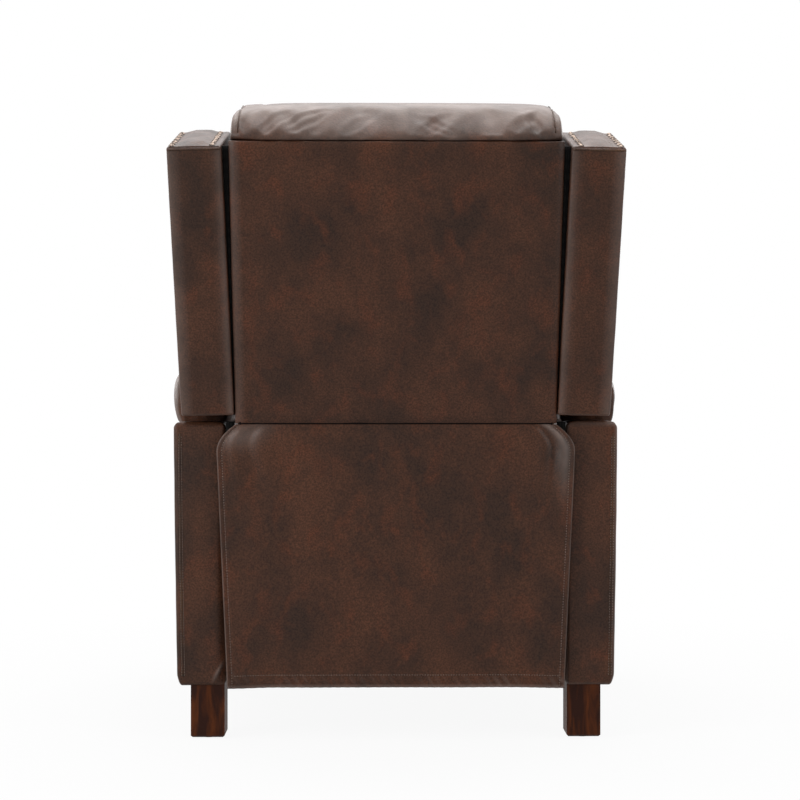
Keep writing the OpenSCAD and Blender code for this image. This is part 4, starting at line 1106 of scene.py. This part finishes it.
def pillow_outline():
    """Side outline of the pillow: it rests on the panel's lip and bulges over it to the rear."""
    d, low, high = PILLOW_DEPTH, PILLOW_LOW, PILLOW_HIGH
    return [
        (CUSHION_REAR, low, 0.06 * d), (CUSHION_REAR, LIP, 0.02 * d), (-2.5 * MM, LIP, 0.01 * d),
        (3.0 * MM, LIP + 0.20 * (high - LIP), 0.04 * d), (-0.10 * d, LIP + 0.72 * (high - LIP), 0.12 * d),
        (-0.38 * d, high + 0.02 * d, 0.15 * d), (PILLOW_FRONT + 0.35 * d, high, 0.25 * d),
        (PILLOW_FRONT, low + 0.62 * (high - low), 0.5 * d), (PILLOW_FRONT + 0.10 * d, low, 0.3 * d),
    ]


def pillow_held(p):
    """Where the pillow is sewn down or closed by its ends."""
    sewn = p.y > SEWN_BEHIND and p.z < SEWN_BELOW
    return sewn or p.z < PILLOW_HELD_BELOW or abs(p.x) > PILLOW_END


def pillow_fold(x0, z0, x1, z1, width, depth):
    """Fold in the chair's own frame, from its numbers in millimetres."""
    start = on_back(Vector((x0, 0, z0)) * MM)
    end = on_back(Vector((x1, -50, z1)) * MM)
    return start, end, width * MM, depth * MM


def rays_round(centre, count=90, away=260 * MM):
    """Rays that meet the pillow from all round, in a plane across the chair's width."""
    rays = []
    for k in range(count):
        way = Vector((0, math.cos(2 * math.pi * k / count), math.sin(2 * math.pi * k / count)))
        start = on_back(centre + way * away)
        rays.append((start, (on_back(centre) - start).normalized()))
    return rays


def pillow_sheen_and_paling(seam, crest, p):
    """Painted sheen of the overhead light over the pillow's top, above the seam and behind, with some pull-up
    paling where the leather is drawn tight over the filling.
    """
    high = smooth_step(seam - 4 * MM, seam + 0.62 * (crest - seam), p.z)
    behind = smooth_step(PALE_FROM, PALE_FULL, p.y) * smooth_step(seam - 8 * MM, seam, p.z)
    return (0.3 + 0.8 * high + 0.35 * ripple(p, 60 * MM, 41.0)) * behind


def head_pillow():
    """Pillow over the top of the back, with a seam round each end."""
    core_low = (PILLOW_FRONT + 0.55 * PILLOW_DEPTH, PILLOW_LOW + 0.4 * PILLOW_DEPTH)
    core_high = (CUSHION_REAR, LIP + 6 * MM)
    obj = stuffed(
        "head_pillow_leather", pillow_outline(), core_low, core_high, half=PANEL_HALF - 2 * MM,
        end_share=0.70, body="back", spacing=7 * MM, place=on_back, fall=0.42, square=8.0,
    )
    puff(obj, pressure=4.0, cap=7 * MM, hold=pillow_held, slack=-0.05, seed=6.0, frames=20)
    refine(obj)
    crease(obj, [pillow_fold(*fold) for fold in PILLOW_FOLDS])
    seam = on_back(Vector((0, 0, LIP))).z
    crest = max(v.co.z for v in obj.data.vertices)
    for sign, label in ((1, "left"), (-1, "right")):
        centre = Vector((
            sign * PILLOW_SEAM, (CUSHION_REAR + PILLOW_FRONT) / 2, (PILLOW_LOW + PILLOW_HIGH) / 2))
        welted_seam(
            obj, "head_pillow_end_seam_" + label, rays_round(centre),
            radius=1.3 * MM, body="back", depth=1.2 * MM, width=5 * MM,
        )
    # Painted sheen over the pillow's top, with some pull-up paling
    paint_highlight(obj, partial(pillow_sheen_and_paling, seam, crest))
    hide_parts("head_pillow")


head_pillow()


def back_cushion():
    """Inner back cushion below the pillow, with a welt near its edge."""
    d = 150 * MM
    rear = CUSHION_REAR
    front = rear - d
    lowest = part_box("back_cushion")[0].z
    # The cushion's foot and head in the back's leaning frame
    foot = -164 * MM
    high = PILLOW_LOW - 0.3 * MM
    corners = [
        (rear, foot, 0.1 * d), (rear, high, 0.06 * d), (front + 0.10 * d, high, 0.25 * d),
        (front - 0.04 * d, foot + 0.55 * (high - foot), 0.9 * d), (front + 0.06 * d, foot, 0.28 * d),
    ]
    core_low, core_high = (rear - 0.05 * d, foot + 0.4 * d), (rear, high - 0.4 * d)
    obj = stuffed(
        "back_cushion_leather", corners, core_low, core_high, half=BACK_HALF - 1 * MM,
        end_share=0.72, body="back", spacing=10 * MM, place=on_back,
    )
    puff(
        obj, pressure=4.0, cap=9 * MM, hold=lambda p: p.z < lowest + 30 * MM,
        slack=-0.03, seed=9.0, frames=18,
    )
    refine(obj)
    rearward = (on_back(Vector((0, 1, 0))) - on_back(Vector((0, 0, 0)))).normalized()
    rays = []
    for x, z in round_rectangle(BACK_HALF - 26 * MM, foot + 30 * MM, high - 22 * MM, 40 * MM, 240):
        rays.append((on_back(Vector((x, front - 200 * MM, z))), rearward))
    welted_seam(obj, "back_cushion_welt", rays, radius=2.4 * MM, body="back", depth=3 * MM, width=9 * MM)
    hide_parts("back_cushion")


back_cushion()


def seat_cushion():
    """Seat cushion, crowned, with its nose rolled over the front band and a welt round its top."""
    lowest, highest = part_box("seat_cushion")
    h = 118 * MM
    nose, rear, low = lowest.y, highest.y, lowest.z
    high = low + h
    corners = [
        (nose + 0.25 * h, low, 0.15 * h), (rear, low, 0.15 * h), (rear, high - 0.13 * h, 0.3 * h),
        ((nose + rear) / 2, high - 0.02 * h, 0.8 * h), (nose + 0.05 * h, high - 0.10 * h, 0.32 * h),
        (nose + 0.01 * h, low + 0.26 * h, 0.2 * h),
    ]
    core_low, core_high = (nose + 0.6 * h, low), (rear - 0.5 * h, low + 0.45 * h)
    obj = stuffed(
        "seat_cushion_leather", corners, core_low, core_high, half=highest.x - 1 * MM,
        end_share=0.80, body="seat", spacing=11 * MM, fall=0.35,
    )
    edge = 12 * MM
    puff(
        obj, pressure=4.0, cap=8 * MM, hold=lambda p: p.z < low + edge or abs(p.x) > highest.x - edge,
        slack=-0.03, seed=12.0, frames=16,
    )
    refine(obj)
    rays = []
    for x, y in round_rectangle(highest.x - 26 * MM, nose + 24 * MM, rear - 30 * MM, 46 * MM, 240):
        rays.append((Vector((x, y, high + 200 * MM)), Vector((0, 0, -1))))
    welted_seam(obj, "seat_cushion_welt", rays, radius=2.4 * MM, body="seat", depth=3 * MM, width=9 * MM)
    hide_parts("seat_cushion")


seat_cushion()


def footrest_pad():
    """Pad on the footrest's board, rounded in front, with a welt near its edge."""
    lowest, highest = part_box("footrest_pad")
    d = highest.y - lowest.y
    face, rear, low, high = lowest.y, highest.y, lowest.z, highest.z
    corners = [
        (face + 0.14 * d, low, 0.5 * d), (rear, low, 0.15 * d), (rear, high, 0.15 * d),
        (face + 0.14 * d, high, 0.5 * d), (face + 0.02 * d, (low + high) / 2, 1.3 * d),
    ]
    core_low, core_high = (rear, low + 0.6 * d), (rear, high - 0.6 * d)
    obj = stuffed(
        "footrest_pad_leather", corners, core_low, core_high, half=highest.x - 1 * MM,
        end_share=0.70, body="footrest", spacing=9 * MM,
    )
    puff(
        obj, pressure=3.0, cap=6 * MM, hold=lambda p: p.y > rear - 4 * MM,
        slack=-0.02, seed=15.0, frames=14,
    )
    refine(obj)
    rays = []
    for x, z in round_rectangle(highest.x - 22 * MM, low + 20 * MM, high - 20 * MM, 40 * MM, 200):
        rays.append((Vector((x, face - 200 * MM, z)), Vector((0, 1, 0))))
    welted_seam(
        obj, "footrest_pad_welt", rays, radius=2.2 * MM, body="footrest", depth=2.4 * MM, width=8 * MM)
    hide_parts("footrest_pad")


footrest_pad()

# Rear flap: one sheet of leather that hangs from the foot of the back, its edges folded under and sewn
FLAP_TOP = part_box("rear_flap")[1].z + 1.5 * MM
FLAP_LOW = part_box("rear_flap")[0].z
FLAP_REAR = BACK_FOOT.y
FLAP_THICK = 3.2 * MM
FLAP_LENGTH = FLAP_TOP - FLAP_LOW
FLAP_HALF = 303 * MM
FLAP_TAPER = 20 * MM
FLAP_CORNER = 34 * MM
FLAP_CORNER_DROP = 46 * MM
SEWN_FROM_EDGE = 8.6 * MM
HEM_DEPTH = 21 * MM
PUCKER_PITCH = 16 * MM
# Heights of the rolled edges, the groove of the stitches, the hem, its puckers and the waves
EDGE_ROLL = 1.0 * MM
STITCH_GROOVE = 0.9 * MM
HEM_RISE = 0.8 * MM
PUCKER_HEIGHT = 1.0 * MM
LONG_WAVE = 1.6 * MM
SHORT_WAVE = 0.5 * MM
# The hem hangs lower at its two ends
HEM_SAG = 1.8 * MM
# Folds down from the flap's top corners: distance from the edge, half width and height, in mm
LEFT_FOLDS = ((22, 8, 5.0), (40, 7, -3.0), (58, 9, 2.4), (80, 12, -1.2))
RIGHT_FOLDS = ((17, 7, 6.0), (33, 6, -3.6), (47, 8, 2.2), (66, 12, -1.4))
FLAP_COLUMNS = 150
FLAP_ROWS = 80
# Extra columns near the two edges, at these distances from them in mm, for a mean half width in mm
EDGE_COLUMNS = (0.8, 1.5, 2.5, 3.6, 4.8, 6, 7.3, 8.6, 9.9, 11.5, 13.5)
MEAN_HALF = 290
FLAP_STITCH_RADIUS = 0.6 * MM
FLAP_STITCH_SHARE = 0.52
FLAP_SIDE_STEPS = 89
FLAP_HEM_STEPS = 120


def flap_half(drop):
    """Half the flap's width at a drop below its top: it narrows downwards, and its top corners are cut."""
    corner = 1 - min(1.0, drop / FLAP_CORNER_DROP)
    return FLAP_HALF - FLAP_TAPER * drop / FLAP_LENGTH - FLAP_CORNER * corner ** 2


def pucker(x, drop):
    """Slanting wave that the hem's thread draws into the leather, one every 16 mm or so."""
    drift = 2.6 * ripple(Vector((x, 0, 0)), 60 * MM, 27.0)
    return math.sin(2 * math.pi * (x + 0.7 * drop) / PUCKER_PITCH + drift)


def corner_folds(u, drop, from_edge):
    """Height of the folds that run down from the top corners, spreading as they go."""
    if u > 0:
        reach, spread, folds = 95 * MM, 1.0 + drop / (150 * MM), LEFT_FOLDS
    else:
        reach, spread, folds = 125 * MM, 1.0 + drop / (420 * MM), RIGHT_FOLDS
    near_top = bell(drop, 0.0, reach) * smooth_step(0.0, 12 * MM, drop)
    height = 0.0
    for middle, width, lift in folds:
        height += lift * MM * near_top * bell(from_edge, middle * MM * spread, width * MM * spread)
    return height


def flap_point(u, drop, over=0.0):
    """Point of the flap at share u across and a drop below its top, over its rear face."""
    half = flap_half(drop)
    x = u * half
    from_edge = (1 - abs(u)) * half
    y = FLAP_REAR - FLAP_THICK
    # Rolled edges stand proud, the stitches lie in a groove, and the hem is thicker
    y += EDGE_ROLL * bell(from_edge, 2.5 * MM, 2.5 * MM)
    y -= STITCH_GROOVE * bell(from_edge, SEWN_FROM_EDGE, 2.2 * MM)
    y += HEM_RISE * smooth_step(FLAP_LENGTH - 24 * MM, FLAP_LENGTH - 18 * MM, drop)
    y += corner_folds(u, drop, from_edge)
    # The hem's thread puckers it on a slant
    in_hem = smooth_step(FLAP_LENGTH - 25 * MM, FLAP_LENGTH - 17 * MM, drop)
    y += PUCKER_HEIGHT * in_hem * pucker(x, drop)
    # Long soft waves run down the sheet, and short ones lie all over it
    drawn_out = Vector((x * 1.6, 0, drop * 0.5))
    y += LONG_WAVE * ripple(drawn_out, 120 * MM, 21.0) * smooth_step(0, 60 * MM, drop)
    y += SHORT_WAVE * ripple(Vector((x, 0, drop)), 38 * MM, 23.0)
    z = FLAP_TOP - drop - HEM_SAG * smooth_step(0.7, 1.0, abs(u)) * drop / FLAP_LENGTH
    return Vector((x, y + over, z))


def corner_highlight(u, drop):
    """Painted highlight where the flap is drawn over its corners: a patch at the left, a fold at the right.
    """
    aside = (1 - abs(u)) * flap_half(drop)
    if u > 0:
        return 0.55 * bell(aside, 34 * MM, 34 * MM) * bell(drop, 18 * MM, 20 * MM)
    return 1.2 * bell(aside, 17 * MM, 8 * MM) * bell(drop, 36 * MM, 60 * MM)


def flap_highlights(u, drop, from_edge, p):
    """Share of painted highlight on the flap: a line along its rolled edges, its drawn corners and the crests
    of the puckers of its hem.
    """
    in_hem = smooth_step(FLAP_LENGTH - 22 * MM, FLAP_LENGTH - 17 * MM, drop)
    wave = max(0.0, pucker(u * flap_half(drop), drop)) * max(0.0, 0.4 + ripple(p, 50 * MM, 61.0))
    return 0.7 * bell(from_edge, 0.0, 1.6 * MM) + corner_highlight(u, drop) + 0.35 * in_hem * wave


def flap_sheet():
    """The flap's leather, in two layers joined at the rim."""
    near_edges = {s * (1 - w / MEAN_HALF) for s in (-1, 1) for w in EDGE_COLUMNS}
    across = sorted({-1 + 2 * k / FLAP_COLUMNS for k in range(FLAP_COLUMNS + 1)} | near_edges)
    down = [FLAP_LENGTH * (k / FLAP_ROWS) ** 1.2 for k in range(FLAP_ROWS + 1)]
    points, wear_and_highlight = [], []
    for inner in (False, True):
        for drop in down:
            for u in across:
                p = flap_point(u, drop)
                from_edge = min((1 - abs(u)) * flap_half(drop), FLAP_LENGTH - drop)
                if inner:
                    p.y -= FLAP_THICK * min(1.0, 0.3 + from_edge / (3 * MM))
                else:
                    p.y -= 0.5 * FLAP_THICK * (1 - math.sqrt(min(from_edge / (2.2 * MM), 1.0)))
                points.append(p)
                wear_and_highlight.append(flap_highlights(u, drop, from_edge, p))
    return piece("rear_flap_leather", points, sheet_faces(len(across), len(down)), "flap", HIDE, wear_and_highlight)


def flap_stitches():
    """The rows of stitches down the flap's two sides and along its hem."""
    rows = []
    for sign, label in ((1, "left"), (-1, "right")):
        path = []
        for k in range(FLAP_SIDE_STEPS + 1):
            drop = 3 * MM + (FLAP_LENGTH - 5 * MM) * k / FLAP_SIDE_STEPS
            path.append(flap_point(sign * (1 - SEWN_FROM_EDGE / flap_half(drop)), drop, 0.1 * MM))
        rows.append(stitches("flap_stitch_" + label, path, "flap", FLAP_STITCH_RADIUS, FLAP_STITCH_SHARE))
    path = []
    for k in range(FLAP_HEM_STEPS + 1):
        u = -0.965 + 1.93 * k / FLAP_HEM_STEPS
        path.append(flap_point(u, FLAP_LENGTH - HEM_DEPTH, 0.3 * MM))
    rows.append(stitches("flap_stitch_hem", path, "flap", FLAP_STITCH_RADIUS, FLAP_STITCH_SHARE))
    return rows


flap = flap_sheet()
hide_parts("rear_flap")
flap_stitches()


# Flat-felled seams: radius of the strip, and the stitches' distance from its middle
FELLED_RADIUS = 1.9 * MM
FELLED_HALF = 2.4 * MM
FELLED_STEPS = 59


def felled_seam(side_name, sign, inset):
    """Flat-felled strip down an arm's rear face, with a row of stitches along each side of it."""
    strip, inner, outer = [], [], []
    for k in range(FELLED_STEPS + 1):
        z = LEG_HEIGHT + 14 * MM + (ARM_TOP - LEG_HEIGHT - 30 * MM) * k / FELLED_STEPS
        s = (z - LEG_HEIGHT) / (ARM_TOP - LEG_HEIGHT)
        x = ARM_OUT - inset - ARM_TAPER * (1 - s) ** 1.3
        y = ARM_REAR + ARM_REAR_CROWN * crown(0.72, 2.5) * crown(2 * s - 1, 6)
        strip.append(Vector((sign * x, y - 0.9 * MM, z)))
        inner.append(Vector((sign * (x - FELLED_HALF), y + 0.5 * MM, z)))
        outer.append(Vector((sign * (x + FELLED_HALF), y + 0.1 * MM, z)))
    tube(side_name + "_arm_felled_seam", strip, FELLED_RADIUS, "base", WELT, WELT_SIDES)
    stitches(side_name + "_arm_stitch_inner", inner, "base", 0.5 * MM)
    stitches(side_name + "_arm_stitch_outer", outer, "base", 0.5 * MM)


felled_seam("left", 1, 11 * MM)
felled_seam("right", -1, 8 * MM)


def flat_sheet(name, node, body):
    """Black cloth stretched flat in place of a thin solid."""
    low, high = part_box(node)
    nx, ny = 36, 30
    points = []
    for level in (high.z, low.z):
        for j in range(ny + 1):
            for i in range(nx + 1):
                x, y = low.x + (high.x - low.x) * i / nx, low.y + (high.y - low.y) * j / ny
                inside = crown(2 * i / nx - 1, 4) * crown(2 * j / ny - 1, 4)
                sag = 0.6 * MM * inside * ripple(Vector((x, y, 0)), 60 * MM, 31.0)
                points.append(Vector((x, y, level - sag)))
    faces = sheet_faces(nx + 1, ny + 1, turned=True)
    obj = piece(name, points, faces, body, DUST_CLOTH, None)
    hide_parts(node)


flat_sheet("dust_cloth", "dust_cover", "base")
flat_sheet("deck_cloth", "seat_deck", "seat")

# Front band below the seat cushion
band_low, band_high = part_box("seat_front_band")
band = upholstered(
    "seat_band_leather", band_low, band_high, reach=1.2 * MM, spacing=10 * MM, body="seat",
    shape=lambda p, out: p.copy(), seed=17.0,
)
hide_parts("seat_front_band")

# Return springs between the fixed cross bar and the sliding seat
spring_low, spring_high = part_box("return_springs")
SPRING_WIRE = 1.1 * MM
SPRING_RADIUS = (spring_high.z - spring_low.z) / 2 - SPRING_WIRE
SPRING_TURNS = 26
SPRING_HOOK = 8 * MM
STEPS_PER_TURN = 14


def return_spring(name, x):
    """Extension spring of round wire, with a hook at each end."""
    z = (spring_low.z + spring_high.z) / 2
    y0, y1 = spring_low.y + SPRING_HOOK, spring_high.y - SPRING_HOOK
    steps = SPRING_TURNS * STEPS_PER_TURN
    path = [Vector((x, spring_low.y + 1 * MM, z + 3 * MM)), Vector((x, spring_low.y + 3 * MM, z + 4.5 * MM))]
    for k in range(steps + 1):
        a = 2 * math.pi * k / STEPS_PER_TURN + math.pi / 2
        coil_x, coil_z = x + SPRING_RADIUS * math.cos(a), z + SPRING_RADIUS * math.sin(a)
        path.append(Vector((coil_x, y0 + (y1 - y0) * k / steps, coil_z)))
    path.append(Vector((x, spring_high.y - 3 * MM, z + 4.5 * MM)))
    path.append(Vector((x, spring_high.y - 1 * MM, z + 3 * MM)))
    spring = tube(name, path, SPRING_WIRE, None, SPRING_STEEL)
    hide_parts("return_springs")
    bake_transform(spring)


return_spring("left_return_spring", spring_high.x - 6.5 * MM)
return_spring("right_return_spring", spring_low.x + 6.5 * MM)

# Floor and backdrop
WHITE = (1.0, 1.0, 1.0, 1.0)
FLOOR_REACH = 14.0


def sharp_rays(tree):
    """1 for what the camera sees directly, in a gloss or through glass, else 0."""
    path = add(tree, "ShaderNodeLightPath")
    direct = add(tree, "ShaderNodeMath", {
        0: path.outputs["Is Camera Ray"], 1: path.outputs["Is Glossy Ray"]}, operation="MAXIMUM")
    either = add(tree, "ShaderNodeMath", {
        0: direct.outputs["Value"], 1: path.outputs["Is Transmission Ray"]}, operation="MAXIMUM")
    return either.outputs["Value"]


def sweep_paper():
    """White paper: to the camera it is white, and close to the chair it also takes the chair's shadow."""
    material = bpy.data.materials.new("white_sweep_paper")
    material.use_nodes = True
    tree = material.node_tree
    tree.nodes.clear()
    paper = add(tree, "ShaderNodeBsdfDiffuse", {"Color": linear("#bcbcbc")}).outputs["BSDF"]
    glow = add(tree, "ShaderNodeEmission", {"Color": WHITE, "Strength": 1.0}).outputs["Emission"]
    place = add(tree, "ShaderNodeTexCoord").outputs["Object"]
    away = add(tree, "ShaderNodeVectorMath", {0: place}, operation="LENGTH").outputs["Value"]
    seen = add(tree, "ShaderNodeMath", {
        0: sharp_rays(tree), 1: remap(tree, away, 0.5, 1.5, 0.93, 1.0)}, operation="MULTIPLY")
    mix = add(tree, "ShaderNodeMixShader", {0: seen.outputs["Value"], 1: paper, 2: glow})
    add(tree, "ShaderNodeOutputMaterial", {"Surface": mix.outputs["Shader"]})
    return material


def studio_floor():
    """Floor under the chair, wide enough to fill the picture."""
    mesh = bpy.data.meshes.new("studio_floor")
    r = FLOOR_REACH
    mesh.from_pydata([(-r, -r, 0), (r, -r, 0), (r, r, 0), (-r, r, 0)], [], [(0, 1, 2, 3)])
    mesh.materials.append(sweep_paper())
    floor = bpy.data.objects.new("studio_floor", mesh)
    bpy.context.scene.collection.objects.link(floor)


def studio_air():
    """Room light that is dim at eye level and lighter towards the ceiling, behind a white backdrop."""
    world = bpy.data.worlds.new("studio_air")
    bpy.context.scene.world = world
    world.use_nodes = True
    tree = world.node_tree
    tree.nodes.clear()
    way = add(tree, "ShaderNodeTexCoord").outputs["Generated"]
    height = add(tree, "ShaderNodeSeparateXYZ", {"Vector": way}).outputs["Z"]
    level = remap(tree, height, 0.2, 0.95, 0.07, 0.8)
    soft = add(tree, "ShaderNodeBackground", {"Color": WHITE, "Strength": level}).outputs["Background"]
    white = add(tree, "ShaderNodeBackground", {"Color": WHITE, "Strength": 1.0}).outputs["Background"]
    mix = add(tree, "ShaderNodeMixShader", {0: sharp_rays(tree), 1: soft, 2: white})
    add(tree, "ShaderNodeOutputWorld", {"Surface": mix.outputs["Shader"]})


# Softboxes: name, place, what they aim at, width and height, and watts
SOFTBOXES = (
    ("overhead_softbox", (0.0, 0.2, 3.0), (0, 0.25, 0.5), (2.6, 2.2), 66),
    ("camera_left_softbox", (2.6, 1.9, 1.5), (0.1, 0.25, 0.55), (1.2, 1.9), 64),
    ("camera_right_softbox", (-2.9, 2.0, 1.6), (0, 0.2, 0.55), (1.2, 1.9), 36),
    ("front_top_softbox", (0.0, -1.9, 3.1), (0, 0.2, 0.8), (2.8, 1.4), 30),
    ("front_left_softbox", (2.4, -2.4, 1.5), (0, -0.1, 0.55), (1.2, 1.6), 30),
    ("front_right_softbox", (-2.4, -2.4, 1.5), (0, -0.1, 0.55), (1.2, 1.6), 30),
)


def softbox(name, at, target, size, power):
    """Rectangular light that faces its target."""
    light = bpy.data.lights.new(name, "AREA")
    light.shape = "RECTANGLE"
    light.size, light.size_y = size
    light.energy = power
    obj = bpy.data.objects.new(name, light)
    bpy.context.scene.collection.objects.link(obj)
    obj.location = at
    aim = Vector(target) - Vector(at)
    obj.rotation_euler = aim.to_track_quat("-Z", "Y").to_euler()


# Level camera, fitted to the corners of the panel, wings, arms, flap and legs in the photograph
PHOTO_WIDTH_PX = 800
FOCAL_LENGTH_PX = 1700
SENSOR_WIDTH = 36.0
CAMERA_PLACE = Vector((27.4 * MM, 3181 * MM, 572.2 * MM))
CAMERA_TURN = math.radians(-0.685)


def photo_camera():
    """Camera that sees the chair as the photograph does."""
    lens = bpy.data.cameras.new("photo_camera")
    lens.sensor_width = SENSOR_WIDTH
    lens.lens = SENSOR_WIDTH * FOCAL_LENGTH_PX / PHOTO_WIDTH_PX
    lens.clip_end = 60
    camera = bpy.data.objects.new("photo_camera", lens)
    bpy.context.scene.collection.objects.link(camera)
    camera.location = CAMERA_PLACE
    aim = Vector((math.sin(CAMERA_TURN), -math.cos(CAMERA_TURN), 0))
    camera.rotation_euler = aim.to_track_quat("-Z", "Y").to_euler()
    bpy.context.scene.camera = camera


studio_floor()
studio_air()
for box in SOFTBOXES:
    softbox(*box)
photo_camera()
bpy.context.scene.view_settings.view_transform = "Standard"


def corners(box):
    """The two corners of a box as plain lists."""
    return [[float(c) for c in corner] for corner in box]
